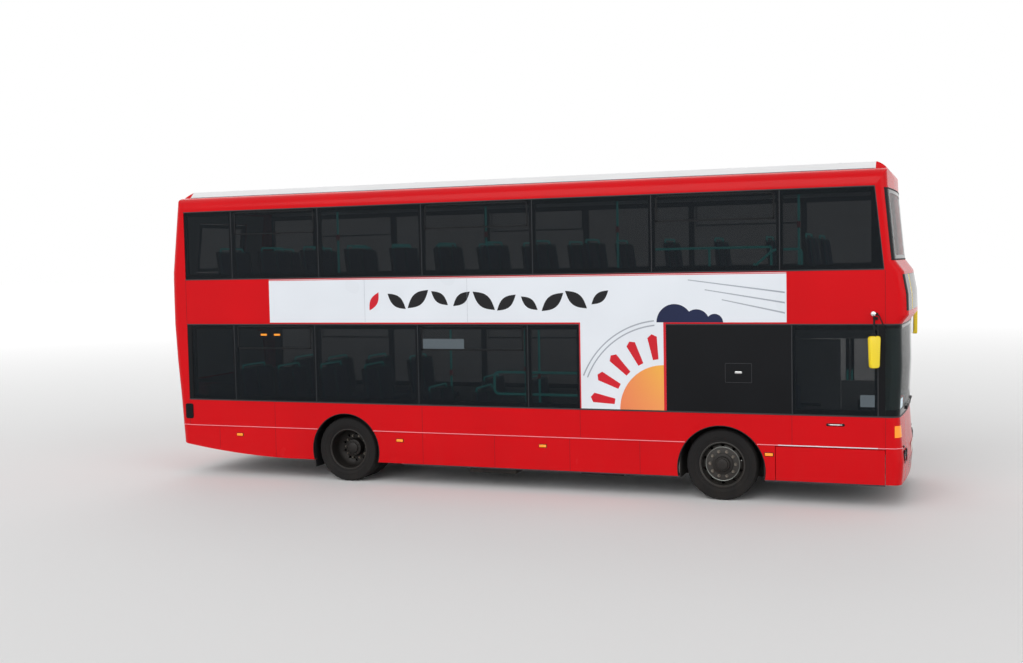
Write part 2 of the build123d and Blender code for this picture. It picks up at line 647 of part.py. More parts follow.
# Rows of double seats. Columns: side sign, front edge x, floor height, on a pedestal
BOX_SEAT_Z = WHEEL_BOX_TOP + SHEET - SEAT_H + 90
LOWER_ROWS = [(1, 2440, LOW_FLOOR_Z, True), (1, 350, LOW_FLOOR_Z, True), (1, -380, LOW_FLOOR_Z, True),
              (-1, 120, LOW_FLOOR_Z, True), (-1, -610, LOW_FLOOR_Z, True)]
for sign in (-1, 1):
    LOWER_ROWS += [(sign, -1640, BOX_SEAT_Z, False), (sign, -2370, BOX_SEAT_Z, False),
                   (sign, -3100, REAR_FLOOR_Z, True), (sign, -3725, REAR_FLOOR_Z, True)]
UPPER_ROWS = [(1, 4700 - SEAT_PITCH * row, UPPER_FLOOR_Z, True) for row in range(13)]
UPPER_ROWS += [(-1, 4700, UPPER_FLOOR_Z, True)]
UPPER_ROWS += [(-1, 4700 - SEAT_PITCH * row, UPPER_FLOOR_Z, True) for row in range(4, 13)]

seat_units = {pedestal: double_seat(pedestal) for pedestal in (True, False)}
with BuildPart() as passenger_seats:
    for sign, x, z, pedestal in LOWER_ROWS + UPPER_ROWS:
        with Locations((x, sign * SEAT_Y, z)):
            add(seat_units[pedestal])
export(passenger_seats.part, "passenger_seats")

# Driver's seat and cab fittings
with BuildPart() as driver_seat:
    block(3980, 4430, -880, -420, CAB_FLOOR_Z + 400, CAB_FLOOR_Z + 480)
    block(3900, 3980, -860, -440, CAB_FLOOR_Z + 400, CAB_FLOOR_Z + 1150)
    rod((4190, -650, CAB_FLOOR_Z), (4190, -650, CAB_FLOOR_Z + 400), 90)
export(driver_seat.part, "driver_seat")

STEERING_R, STEERING_GRIP, STEERING_FLATS = 240, 30, 30
WHEEL_TILT = Plane(origin=(4800, -650, CAB_FLOOR_Z + 620), z_dir=(-0.42, 0, 0.91))
with BuildPart() as dashboard:
    block(4960, 5100, -1200, -200, LOW_FLOOR_Z + 180, 1130)
    with BuildSketch(Plane.XZ.offset(200)):
        Polygon((4860, 900), (4960, 900), (4960, 1130), (4920, 1130), align=None)
    extrude(amount=1000)
    rod((4930, -650, CAB_FLOOR_Z + 330), tuple(WHEEL_TILT.origin), 35)
    with BuildSketch(WHEEL_TILT):
        RegularPolygon(STEERING_R, STEERING_FLATS)
        RegularPolygon(STEERING_R - STEERING_GRIP, STEERING_FLATS, mode=Mode.SUBTRACT)
    extrude(amount=STEERING_GRIP / 2, both=True)
    with Locations(WHEEL_TILT):
        Box(2 * (STEERING_R - STEERING_GRIP) + 20, 40, 14)
        Cylinder(60, 50)
export(dashboard.part, "dashboard")

# Cab partition: a wall behind the driver, a low side wall ahead of the door, and a header over it
CAB_DOOR_X = CAB_WALL_X + 60
with BuildPart() as cab_partition:
    block(CAB_WALL_X - 30, CAB_WALL_X, -INNER_Y + 10, CAB_SIDE_Y, LOW_FLOOR_Z, CAB_WALL_TOP_Z)
    block(CAB_DOOR_X + CAB_DOOR_W + LID_GAP, 4930, CAB_SIDE_Y - CAB_DOOR_T, CAB_SIDE_Y, LOW_FLOOR_Z, 1500)
    block(CAB_WALL_X, 4930, CAB_SIDE_Y - CAB_DOOR_T, CAB_SIDE_Y, 2060, CAB_WALL_TOP_Z)
    block(CAB_WALL_X, CAB_DOOR_X - LID_GAP, CAB_SIDE_Y - CAB_DOOR_T, CAB_SIDE_Y, LOW_FLOOR_Z, 2060)
export(cab_partition.part, "cab_partition")

# Cab door in its side, with a pane above the waist
with BuildPart() as cab_door:
    block(CAB_DOOR_X, CAB_DOOR_X + CAB_DOOR_W, CAB_SIDE_Y - CAB_DOOR_T, CAB_SIDE_Y, LOW_FLOOR_Z + 12, 2048)
    for y_low, y_high in ((CAB_SIDE_Y - CAB_DOOR_T, CAB_SIDE_Y - 18), (CAB_SIDE_Y - 12, CAB_SIDE_Y)):
        block(CAB_DOOR_X + 60, CAB_DOOR_X + CAB_DOOR_W - 60, y_low, y_high, 1350, 1980, mode=Mode.SUBTRACT)
export(cab_door.part, "cab_door")

# Passenger door leaves, two to a doorway, each a frame around a thin pane
for name, rear_x, front_x in DOORWAYS:
    middle = (rear_x + front_x) / 2
    for end, x_low, x_high in (("rear", rear_x + LEAF_GAP, middle - 4),
                               ("front", middle + 4, front_x - LEAF_GAP)):
        with BuildPart() as leaf:
            block(x_low, x_high, LEAF_Y - LEAF_T / 2, LEAF_Y + LEAF_T / 2, DOOR_SILL_Z + 10, DOOR_HEAD_Z - 12)
            for y_low, y_high in ((LEAF_Y - LEAF_T / 2, LEAF_Y - 4), (LEAF_Y + 4, LEAF_Y + LEAF_T / 2)):
                block(x_low + 50, x_high - 50, y_low, y_high, DOOR_SILL_Z + 90, DOOR_HEAD_Z - 80,
                      mode=Mode.SUBTRACT)
        export(leaf.part, f"{name}_door_{end}_leaf")

# Handrails: poles between the floor and the ceiling, and the stairwell's guard. Columns: x, y
LOWER_POLES = ((3560, 560), (1780, 560), (330, -560), (-200, 318), (-1150, -318))
UPPER_POLES = ((3950, -318), (1450, -318), (-800, 318), (-3000, -318))
RAIL_R = 16
CEILING_Z = UPPER_FLOOR_Z - FLOOR_T
with BuildPart() as handrails:
    for x, y in LOWER_POLES:
        rod((x, y, LOW_FLOOR_Z), (x, y, CEILING_Z), RAIL_R)
    for x, y in UPPER_POLES:
        rod((x, y, UPPER_FLOOR_Z), (x, y, HEIGHT - 75), RAIL_R)
    guard_y, guard_z = STAIR_IN_Y + 40, UPPER_FLOOR_Z + 900
    guard_start, guard_end = WELL_REAR_X + 60, STAIR_HEAD_X - 60
    for x in (guard_start, (guard_start + guard_end) / 2, guard_end):
        rod((x, guard_y, UPPER_FLOOR_Z), (x, guard_y, guard_z), RAIL_R)
    rod((guard_start, guard_y, guard_z), (guard_end, guard_y, guard_z), RAIL_R)
export(handrails.part, "handrails")

# Mirrors on hooped arms. Columns: side sign, x, y, low z, high z, width, turn about the upright
MIRROR_T, ARM_R = 60, 12
MIRRORS = (
    (-1, FRONT_AXLE_X + 1925, 1395, 1777, 2173, 165, 45),
    (1, FRONT_AXLE_X + 2290, 1387, 2030, 2385, 165, 14),
)
with BuildPart() as mirrors:
    for sign, x, y, z_low, z_high, width, turn in MIRRORS:
        arm_z = z_high + 210
        with Locations(Location((x, sign * y, (z_low + z_high) / 2), (0, 0, sign * turn))):
            Box(MIRROR_T, width, z_high - z_low)
        rod((x, sign * y, z_high - 8), (x, sign * y, arm_z + 5), ARM_R)
        rod((x, sign * (y + ARM_R), arm_z), (x - 5, sign * (HALF_WIDTH - 80), arm_z), ARM_R)
    add(outer_form, mode=Mode.SUBTRACT)
export(mirrors.part, "mirrors")

# Wipers parked along the foot of the windscreen
with BuildPart() as wipers:
    rod((5330, -580, 1195), (5343, -20, 1212), 9)
    rod((5343, 20, 1195), (5330, 580, 1212), 9)
    add(outer_form, mode=Mode.SUBTRACT)
export(wipers.part, "wipers")

# Engine across the tail, as one plain block
with BuildPart() as engine:
    block(-5130, -4400, -760, 420, 430, 1330)
export(engine.part, "engine_block")

# Front axle: dropped beam with a boss for each kingpin, and the air springs on it
BOSS_R, BOSS_LOW, BOSS_TOP = 55, WHEEL_Z - 60, WHEEL_Z + 60
with BuildPart() as front_axle:
    block(FRONT_AXLE_X - 50, FRONT_AXLE_X + 50, -850, 850, 110, 185)
    for sign in (-1, 1):
        block(FRONT_AXLE_X - 40, FRONT_AXLE_X + 40, *across(sign, 770, 850), 110, BOSS_TOP - 10)
        block(FRONT_AXLE_X - 40, FRONT_AXLE_X + 40, *across(sign, 850, KINGPIN_Y), BOSS_LOW + 10,
              BOSS_TOP - 10)
        rod((FRONT_AXLE_X, sign * KINGPIN_Y, BOSS_LOW), (FRONT_AXLE_X, sign * KINGPIN_Y, BOSS_TOP), BOSS_R)
        rod((FRONT_AXLE_X, sign * KINGPIN_Y, 0), (FRONT_AXLE_X, sign * KINGPIN_Y, WHEEL_BOX_TOP),
            KINGPIN_R + RUN_FIT, mode=Mode.SUBTRACT)
        rod((FRONT_AXLE_X, sign * 525, 185), (FRONT_AXLE_X, sign * 525, 280), 80)
export(front_axle.part, "front_axle")

# Steering knuckles: a yoke over the beam's boss, its kingpin, and the wheel's spindle
YOKE_T = 33
YOKE_LOW, YOKE_TOP = BOSS_LOW - 2 - YOKE_T, BOSS_TOP + 2 + YOKE_T


def on_spindle(sign, out):
    """A point on a front wheel's axis, at a distance out from the wheel's middle."""
    return (FRONT_AXLE_X, sign * (WHEEL_Y + out * math.cos(CAMBER)), FRONT_WHEEL_Z - out * math.sin(CAMBER))


for side, sign in (("right", -1), ("left", 1)):
    pin_y = sign * KINGPIN_Y
    with BuildPart() as knuckle:
        rod((FRONT_AXLE_X, pin_y, YOKE_LOW), (FRONT_AXLE_X, pin_y, YOKE_TOP), KINGPIN_R)
        for z_low, z_high in ((YOKE_LOW, YOKE_LOW + YOKE_T), (YOKE_TOP - YOKE_T, YOKE_TOP)):
            rod((FRONT_AXLE_X, pin_y, z_low), (FRONT_AXLE_X, pin_y, z_high), 45)
            block(FRONT_AXLE_X - 45, FRONT_AXLE_X + 45, *across(sign, KINGPIN_Y, KINGPIN_Y + 85),
                  z_low, z_high)
        block(FRONT_AXLE_X - 45, FRONT_AXLE_X + 45, *across(sign, KINGPIN_Y + 62, KINGPIN_Y + 85),
              YOKE_LOW, YOKE_TOP)
        rod(on_spindle(sign, -10), on_spindle(sign, 118), SPINDLE_R)
    export(knuckle.part, f"{side}_knuckle")

# Drive axle: a dropped casing under the floor, and a stub for each pair of twins
TWIN_HALF = TWIN_PITCH / 2
TWIN_Y = TWIN_OUTER_Y - TWIN_HALF
with BuildPart() as rear_axle:
    rod((REAR_AXLE_X, -560, WHEEL_Z - 30), (REAR_AXLE_X, 560, WHEEL_Z - 30), 85)
    rod((REAR_AXLE_X - 120, -150, WHEEL_Z - 50), (REAR_AXLE_X + 120, -150, WHEEL_Z - 50), 130)
    for sign in (-1, 1):
        rod((REAR_AXLE_X, sign * 560, WHEEL_Z), (REAR_AXLE_X, sign * 630, WHEEL_Z), 84)
        rod((REAR_AXLE_X, sign * 600, WHEEL_Z), (REAR_AXLE_X, sign * (TWIN_Y + 138), WHEEL_Z), SPINDLE_R)
export(rear_axle.part, "rear_axle")


def ring_profile(points, middle, outwards):
    """Revolve an outline about a wheel's axis. Its columns: distance out from the wheel's middle, radius."""
    side_face = (math.copysign(1, outwards[1]), 0, 0)
    with BuildPart() as ring:
        with BuildSketch(Plane(origin=middle, x_dir=outwards, z_dir=side_face)):
            with BuildLine():
                Polyline(*points, close=True)
            make_face()
        revolve(axis=Axis(middle, outwards))
    return ring.part


HALF_TYRE, HALF_RIM = TYRE_W / 2, RIM_W / 2
BARREL_R = RIM_R - 12
BORE_R = SPINDLE_R + RUN_FIT
TYRE_LINE = (
    (-HALF_RIM, RIM_R), (HALF_RIM, RIM_R), (HALF_TYRE, RIM_R + 70), (HALF_TYRE - 6, TYRE_R - 40),
    (HALF_TYRE - TYRE_SHOULDER, TYRE_R - 5), (HALF_TYRE - TYRE_CROWN, TYRE_R),
    (TYRE_CROWN - HALF_TYRE, TYRE_R),
    (TYRE_SHOULDER - HALF_TYRE, TYRE_R - 5), (6 - HALF_TYRE, TYRE_R - 40), (-HALF_TYRE, RIM_R + 70),
)

# Front wheel: the disc stands proud of the middle, and the hub comes through it
FRONT_DISC = 58
FRONT_RIM_LINE = (
    (-HALF_RIM, RIM_R), (-HALF_RIM, BARREL_R), (FRONT_DISC - 40, BARREL_R), (FRONT_DISC - 10, 222),
    (FRONT_DISC - 10, HUB_R), (2, HUB_R - 28), (2, BORE_R), (120, BORE_R), (120, 75), (92, 100),
    (FRONT_DISC + 12, HUB_R), (FRONT_DISC, HUB_R), (FRONT_DISC, 222), (FRONT_DISC - 26, BARREL_R),
    (HALF_RIM, BARREL_R), (HALF_RIM, RIM_R),
)

# Rear twins: two dished discs back to back, and the hub in the outer one's dish
TWIN_DISC = 14
TWIN_RIM_LINE = (
    (TWIN_HALF + HALF_RIM, RIM_R), (TWIN_HALF + HALF_RIM, BARREL_R), (85, BARREL_R), (TWIN_DISC, 205),
    (TWIN_DISC, HUB_R), (140, HUB_R - 14), (140, BORE_R), (-110, BORE_R), (-110, HUB_R - 14),
    (-TWIN_DISC, HUB_R), (-TWIN_DISC, 205), (-85, BARREL_R), (-TWIN_HALF - HALF_RIM, BARREL_R),
    (-TWIN_HALF - HALF_RIM, RIM_R), (HALF_RIM - TWIN_HALF, RIM_R), (HALF_RIM - TWIN_HALF, 270), (0, 212),
    (TWIN_HALF - HALF_RIM, 270), (TWIN_HALF - HALF_RIM, RIM_R),
)
HAND_HOLES = 8
HAND_HOLE_R = 22
HAND_PCD_R = 198


def wheel(line, middle, outwards, disc_out):
    """A disc wheel with its hub, hand holes and studs."""
    turned = ring_profile(line, middle, outwards)
    on_face = tuple(Vector(*middle) + disc_out * Vector(*outwards))
    face = Plane(origin=on_face, x_dir=(1, 0, 0), z_dir=outwards)
    with BuildPart() as rim:
        add(turned)
        with Locations(face):
            with PolarLocations(HAND_PCD_R, HAND_HOLES):
                Cylinder(HAND_HOLE_R, 60, mode=Mode.SUBTRACT)
            with PolarLocations(STUD_PCD / 2, STUD_COUNT):
                Cylinder(STUD_R, 32, align=(Align.CENTER, Align.CENTER, Align.MIN))
    return rim.part


for side, sign in (("right", -1), ("left", 1)):
    leaning = (0, sign * math.cos(CAMBER), -math.sin(CAMBER))
    front = (FRONT_AXLE_X, sign * WHEEL_Y, FRONT_WHEEL_Z)
    export(ring_profile(TYRE_LINE, front, leaning), f"front_{side}_tyre")
    export(wheel(FRONT_RIM_LINE, front, leaning, FRONT_DISC), f"front_{side}_wheel")
    level = (0, sign, 0)
    twins = [ring_profile(TYRE_LINE, (REAR_AXLE_X, sign * (TWIN_Y + offset), WHEEL_Z), level)
             for offset in (-TWIN_HALF, TWIN_HALF)]
    with BuildPart() as twin_tyres:
        add(twins)
    export(twin_tyres.part, f"rear_{side}_tyres")
    rear = (REAR_AXLE_X, sign * TWIN_Y, WHEEL_Z)
    export(wheel(TWIN_RIM_LINE, rear, level, TWIN_DISC), f"rear_{side}_wheels")
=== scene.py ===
"""A low-floor double decker bus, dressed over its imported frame.

+X points forward, +Y to the kerb side, +Z up, in metres. The body's own numbers (heights of
its joints, its bowed ends, its axles) are repeated here from the solids' source.
"""
import json
import logging
import math
import random
from contextlib import contextmanager
from dataclasses import dataclass
from enum import Enum
from typing import Iterator, Optional, Sequence

import bpy
from mathutils import Matrix, Vector

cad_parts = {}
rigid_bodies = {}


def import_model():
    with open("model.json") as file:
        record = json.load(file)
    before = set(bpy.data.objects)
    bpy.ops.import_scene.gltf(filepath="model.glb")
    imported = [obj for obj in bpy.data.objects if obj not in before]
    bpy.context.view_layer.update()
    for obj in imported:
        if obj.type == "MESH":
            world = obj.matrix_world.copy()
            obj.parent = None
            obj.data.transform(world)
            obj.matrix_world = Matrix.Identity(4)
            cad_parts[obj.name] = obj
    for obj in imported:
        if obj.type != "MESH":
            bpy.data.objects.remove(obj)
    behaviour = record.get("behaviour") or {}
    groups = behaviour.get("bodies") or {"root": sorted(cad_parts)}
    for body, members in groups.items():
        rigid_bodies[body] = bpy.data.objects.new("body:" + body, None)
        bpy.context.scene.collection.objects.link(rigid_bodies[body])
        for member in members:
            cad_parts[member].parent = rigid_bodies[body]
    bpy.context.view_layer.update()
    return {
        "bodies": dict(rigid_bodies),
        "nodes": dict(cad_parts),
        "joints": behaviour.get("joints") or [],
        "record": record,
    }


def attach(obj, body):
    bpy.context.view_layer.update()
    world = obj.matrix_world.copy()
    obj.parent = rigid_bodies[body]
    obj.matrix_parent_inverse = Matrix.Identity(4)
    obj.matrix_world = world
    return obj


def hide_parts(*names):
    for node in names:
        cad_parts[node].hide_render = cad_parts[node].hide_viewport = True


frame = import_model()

logging.basicConfig(level=logging.INFO, format="%(message)s")
LOG = logging.getLogger("bus")

Point = Sequence[float]
Color = tuple[float, float, float]
Obj = bpy.types.Object
Socket = bpy.types.NodeSocket

# Main sizes, as in the solids
FRONT_X, REAR_X = 3.06, -2.44
HALF_WIDTH, INNER_Y = 1.275, 1.215
SKIRT_Z, MOULDING_Z, SILL_Z, HEAD_Z, UPPER_SILL_Z, UPPER_HEAD_Z = 0.309, 0.764, 1.16, 2.308, 2.99, 4.014
SIDE_REAR_X, SIDE_FRONT_X = FRONT_X - 8.19, FRONT_X + 2.05
RAKE_LOW_X, RAKE_TOP_X = SIDE_FRONT_X - 0.015, FRONT_X + 1.925
FRONT_BOW, REAR_BOW, FRONT_CORNER, REAR_CORNER = 0.05, 0.028, 0.13, 0.12
COVE_Y, COVE_Z, COVE_RADIUS = 1.075, 4.04, 0.2
CAMBER = math.radians(0.5)
WHEEL_Z, FRONT_WHEEL_Z = 0.47, 0.470658
FRONT_TRACK_Y, REAR_TRACK_Y = 1.08, 0.929
# Body sections. Columns: height, front face x, rear face x
SECTIONS = (
    (0.309, 5.35, -5.303), (0.6, 5.373, -5.323), (0.771, 5.353, -5.335), (1.16, 5.327, -5.357),
    (1.74, 5.357, -5.405), (2.308, 5.35, -5.435), (2.42, 5.435, -5.435), (2.68, 5.427, -5.435),
    (2.96, 5.377, -5.432), (3.1, 5.273, -5.428), (4.014, 5.185, -5.32), (4.4, 5.168, -5.27),
)
LOW_FLOOR_Z, REAR_FLOOR_Z, UPPER_FLOOR_Z, LOWER_CEILING_Z = 0.34, 0.62, 2.4, 2.335
# The end walls' linings stand this far inside the outer face
LINING_INSET = 0.063
# A sheet pressed to a side pane from inside: its outer and inner y
PANE_SHEET_Y = (-1.2665, -1.2645)
# Doorways: name, rear edge x, front edge x
DOORWAYS = (("front", FRONT_X + 0.8, FRONT_X + 2.02),
            ("centre", FRONT_X - 2.6, FRONT_X - 1.35))


def end_x(z: float, front: bool) -> float:
    """Give the x of the bodywork's end on its centre line, at one height.

    Args:
        z: The height.
        front: True for the nose, False for the tail.

    Returns:
        The x of the face.
    """
    column = 1 if front else 2
    for low, high in zip(SECTIONS, SECTIONS[1:]):
        if z <= high[0]:
            share = max(0.0, (z - low[0]) / (high[0] - low[0]))
            return low[column] + share * (high[column] - low[column])
    return SECTIONS[-1][column]


def face_x(y: float, z: float, front: bool = True) -> float:
    """Give the x of the bowed end face, its round corners counted.

    Args:
        y: Distance across.
        z: The height.
        front: True for the nose, False for the tail.

    Returns:
        The x of the face there.
    """
    bow, corner = (FRONT_BOW, FRONT_CORNER) if front else (REAR_BOW, REAR_CORNER)
    edge = HALF_WIDTH - corner
    if abs(y) <= edge:
        drop = bow * (y / edge) ** 2
    else:
        drop = bow + corner - math.sqrt(max(0.0, corner ** 2 - (abs(y) - edge) ** 2))
    return end_x(z, front) - drop if front else end_x(z, front) + drop


def end_path(z: float, out: float, front: bool = True, half: float = HALF_WIDTH) -> list[Point]:
    """Plan points round one end of the body, from the offside to the nearside.

    Args:
        z: The height.
        out: How far the path stands off the face.
        front: True for the nose, False for the tail.
        half: Stop at this distance from the centre line; the full half width takes in the corners.

    Returns:
        The points.
    """
    way = 1 if front else -1
    bow, radius = (FRONT_BOW, FRONT_CORNER) if front else (REAR_BOW, REAR_CORNER)
    corner_x = end_x(z, front) - way * bow
    edge = HALF_WIDTH - radius
    span = min(half, edge)
    middle = [(face_x(span * s / 10, z, front) + way * out, span * s / 10, z) for s in range(-10, 11)]
    if half <= edge:
        return middle
    turn = []
    last = math.asin(min(1.0, (half - edge) / radius))
    for step in range(1, 9):
        a = last * step / 8
        turn.append((corner_x - way * radius + way * (radius + out) * math.cos(a),
            edge + (radius + out) * math.sin(a), z))
    if half >= HALF_WIDTH:
        turn.append(((SIDE_FRONT_X if front else SIDE_REAR_X), HALF_WIDTH + out, z))
    return [(x, -y, z) for x, y, z in reversed(turn)] + middle + turn


# Finishes


class Grain(Enum):
    """The small pattern of a finish."""

    PEEL = "peel"
    MOULD = "mould"
    WEAVE = "weave"
    BRUSH = "brush"
    SPECKLE = "speckle"
    CAST = "cast"
    DOTS = "dots"
    RIBS = "ribs"


class Wiring:
    """A hand for wiring one material's nodes."""

    def __init__(self, name: str) -> None:
        """Start a material with its shader."""
        self.material = bpy.data.materials.new(name)
        self.material.use_nodes = True
        self.tree = self.material.node_tree
        self.shader = self.tree.nodes["Principled BSDF"]
        self.coords = self.node("TexCoord").outputs["Object"]

    def node(self, kind: str, links: Optional[dict] = None, **values: object) -> bpy.types.Node:
        """Add a node.

        Args:
            kind: The node's type, without its prefix.
            links: Input name or number to output socket or value.
            values: The node's own properties.

        Returns:
            The node.
        """
        made = self.tree.nodes.new("ShaderNode" + kind)
        for key, value in values.items():
            setattr(made, key, value)
        self.feed(made, links or {})
        return made

    def feed(self, node: bpy.types.Node, links: dict) -> None:
        """Link or set a node's inputs."""
        for key, value in links.items():
            if isinstance(value, Socket):
                self.tree.links.new(value, node.inputs[key])
            else:
                node.inputs[key].default_value = value

    def into(self, socket: str, output: Socket) -> None:
        """Link an output to one of the shader's inputs."""
        self.tree.links.new(output, self.shader.inputs[socket])

    def mix(self, share: object, first: object, second: object) -> Socket:
        """Mix two colours by a share, and return the mixed colour."""
        return self.node("Mix", {0: share, 6: first, 7: second}, data_type="RGBA").outputs[2]

    def math(self, kind: str, first: object, second: object = 0.0) -> Socket:
        """Do one sum, and return its value."""
        return self.node("Math", {0: first, 1: second}, operation=kind).outputs[0]

    def noise(self, scale: float, detail: float = 3.0, stretch: Point = (1, 1, 1)) -> Socket:
        """A noise over the object's own coordinates."""
        placed = self.node("Mapping", {"Vector": self.coords, "Scale": stretch}).outputs[0]
        return self.node("TexNoise", {"Vector": placed, "Scale": scale, "Detail": detail}).outputs["Fac"]

    def spread(self, value: object, low: float, high: float, first: float, second: float) -> Socket:
        """Map a value from one range to another, kept inside it."""
        return self.node("MapRange", {0: value, 1: low, 2: high, 3: first, 4: second}).outputs[0]

    def wave(self, scale: float, direction: str) -> Socket:
        """Straight waves along one axis."""
        return self.node("TexWave", {"Vector": self.coords, "Scale": scale}, bands_direction=direction).outputs["Fac"]

    def bump(self, height: Socket, depth: float, strength: float = 1.0) -> None:
        """Give the surface this relief."""
        self.into("Normal", self.node("Bump", {"Height": height, "Distance": depth, "Strength": strength}).outputs[0])


def rgba(color: Color, factor: float = 1.0) -> tuple[float, float, float, float]:
    """A colour with full cover, lightened or darkened by a factor."""
    return (*(min(1.0, share * factor) for share in color), 1.0)


@dataclass(frozen=True)
class Finish:
    """One finish: its colour, gloss, small pattern and dirt.

    Attributes:
        name: The finish's name.
        color: Its main colour.
        slot: The record's material slot; not used.
        rough: Roughness.
        metal: Metallic share.
        grain: The small pattern.
        scale: The pattern's scale.
        depth: The pattern's relief.
        vary: Share of change in tone.
        second: A second colour for flecks, dots or weave.
        coat: Clear coat.
        dirt: Road dirt towards the ground.
        clear: Share of light let through.
        glow: Light given off.
        sheen: Cloth sheen.
        shine: Mirror-like share of the surface.
    """

    name: str
    color: Color
    slot: str
    rough: float = 0.4
    metal: float = 0.0
    grain: Grain = Grain.MOULD
    scale: float = 120.0
    depth: float = 0.0004
    vary: float = 0.12
    second: Optional[Color] = None
    coat: float = 0.0
    dirt: float = 0.0
    clear: float = 0.0
    glow: float = 0.0
    sheen: float = 0.0
    shine: float = 0.4

    def pattern(self, wiring: Wiring) -> Socket:
        """Wire the small pattern.

        Args:
            wiring: The material's wiring.

        Returns:
            Its height, from 0 to 1.
        """
        if self.grain is Grain.WEAVE:
            warp = wiring.wave(self.scale, "X")
            weft = wiring.math("MAXIMUM", wiring.wave(self.scale, "Y"), wiring.wave(self.scale, "Z"))
            return wiring.math("MULTIPLY", warp, weft)
        if self.grain is Grain.BRUSH:
            return wiring.noise(self.scale, 4.0, (0.05, 1, 1))
        if self.grain is Grain.CAST:
            return wiring.noise(self.scale, 8.0)
        if self.grain is Grain.DOTS:
            return wiring.math("MULTIPLY", wiring.wave(self.scale, "Y"), wiring.wave(self.scale, "Z"))
        if self.grain is Grain.RIBS:
            return wiring.wave(self.scale, "Z")
        if self.grain is Grain.SPECKLE:
            cells = wiring.node("TexVoronoi", {"Vector": wiring.coords, "Scale": self.scale})
            return wiring.spread(cells.outputs["Distance"], 0.1, 0.22, 1.0, 0.0)
        return wiring.noise(self.scale, 2.0 if self.grain is Grain.PEEL else 5.0)

    def make(self) -> bpy.types.Material:
        """Make the material, or give the one made before."""
        if self.name in bpy.data.materials:
            return bpy.data.materials[self.name]
        wiring = Wiring(self.name)
        wiring.feed(wiring.shader, {"Metallic": self.metal, "Coat Weight": self.coat,
            "Specular IOR Level": self.shine, "Coat Roughness": 0.06, "Alpha": 1.0 - self.clear,
            "Sheen Weight": self.sheen})
        height = self.pattern(wiring)
        cloud = wiring.noise(1.1, 1.5)
        tone = wiring.mix(wiring.spread(cloud, 0.2, 0.8, 0.0, 1.0), rgba(self.color, 1 - self.vary),
            rgba(self.color, 1 + self.vary))
        if self.second is not None:
            tone = wiring.mix(height, tone, rgba(self.second))
        rough = wiring.spread(cloud, 0.25, 0.75, max(0.02, self.rough - 0.04), min(1.0, self.rough + 0.05))
        if self.dirt:
            level = wiring.node("SeparateXYZ", {0: wiring.coords}).outputs[2]
            low = wiring.spread(level, 0.25, 1.25, 1.0, 0.0)
            streaks = wiring.spread(wiring.noise(7.0, 6.0, (1, 1, 0.25)), 0.35, 0.8, 0.25, 1.0)
            grime = wiring.math("MULTIPLY", wiring.math("MULTIPLY", low, streaks), self.dirt)
            tone = wiring.mix(grime, tone, (0.11, 0.085, 0.065, 1.0))
            rough = wiring.math("ADD", rough, wiring.math("MULTIPLY", grime, 0.5))
        wiring.into("Base Color", tone)
        wiring.into("Roughness", rough)
        if self.glow:
            wiring.into("Emission Color", tone)
            wiring.feed(wiring.shader, {"Emission Strength": self.glow})
        wiring.bump(height, self.depth, 0.5 if self.grain is Grain.PEEL else 1.0)
        return wiring.material


# Columns: name, colour, slot, roughness, metal, grain, scale, depth, change in tone
RED = Finish("red_paint", (0.6, 0.001, 0.005), "body_red", 0.22, 0.0, Grain.PEEL, 70, 0.00006, 0.05, coat=0.04,
    dirt=0.05, shine=0.12)
SEAM = Finish("panel_seam", (0.13, 0.002, 0.005), "body_red", 0.5, scale=200, vary=0.1, shine=0.2)
# The beads' pale pink is a painted highlight along the moulding.
BEAD_PAINTED_HIGHLIGHT = Finish("bead_painted_highlight", (0.86, 0.3, 0.35), "body_red", 0.2, 0.0, Grain.PEEL, 90, 0.0001, 0.06, coat=0.4)
WHITE_ROOF = Finish("white_roof", (0.74, 0.75, 0.76), "roof_white", 0.35, 0.0, Grain.PEEL, 60, 0.0003, 0.04)
GLOSS_BLACK = Finish("gloss_black", (0.0045, 0.005, 0.0065), "black_trim", 0.14, 0.0, Grain.PEEL, 70, 0.00006, 0.2,
    coat=0.03, shine=0.14)
FRAME_BLACK = Finish("frame_black", (0.008, 0.0085, 0.01), "black_trim", 0.4, vary=0.2, shine=0.14)
RUBBER = Finish("rubber_seal", (0.012, 0.0125, 0.014), "black_trim", 0.62, scale=300, vary=0.2, shine=0.16)
GREY_SEAL = Finish("grey_seal", (0.028, 0.029, 0.033), "black_trim", 0.5, scale=300, vary=0.15, shine=0.3)
WINDOW = Finish("tinted_glass", (0.005, 0.008, 0.011), "glass", 0.04, 0.0, Grain.PEEL, 8, 0.00001, 0.1, clear=0.34,
    shine=0.16)
SCREEN = Finish("clear_glass", (0.02, 0.035, 0.035), "glass", 0.04, 0.0, Grain.PEEL, 8, 0.00001, 0.1, clear=0.68,
    shine=0.3)
CHASSIS = Finish("chassis_paint", (0.014, 0.014, 0.015), "chassis_black", 0.6, 0.0, Grain.CAST, 60, 0.0008, 0.3,
    dirt=0.3, shine=0.25)
TYRE = Finish("tyre_rubber", (0.01, 0.01, 0.0105), "tyre", 0.8, 0.0, Grain.CAST, 160, 0.0006, 0.25, dirt=0.1,
    shine=0.2)
DISH = Finish("dish_paint", (0.017, 0.016, 0.0155), "wheel_steel", 0.5, 0.3, Grain.CAST, 90, 0.0003, 0.3, dirt=0.15,
    shine=0.3)
# A pale metal ring on the front discs' shoulders: a painted highlight of the light from above.
DISC_HIGHLIGHT = Finish("disc_painted_highlight", (0.23, 0.24, 0.225), "wheel_steel", 0.42, 1.0, Grain.BRUSH, 120, 0.0002, 0.35)
RIM = Finish("rim_paint", (0.036, 0.035, 0.033), "wheel_steel", 0.38, 0.5, Grain.CAST, 90, 0.0003, 0.3, dirt=0.15)
BRIGHT = Finish("bright_steel", (0.5, 0.5, 0.5), "wheel_steel", 0.32, 1.0, Grain.BRUSH, 120, 0.0002, 0.25)
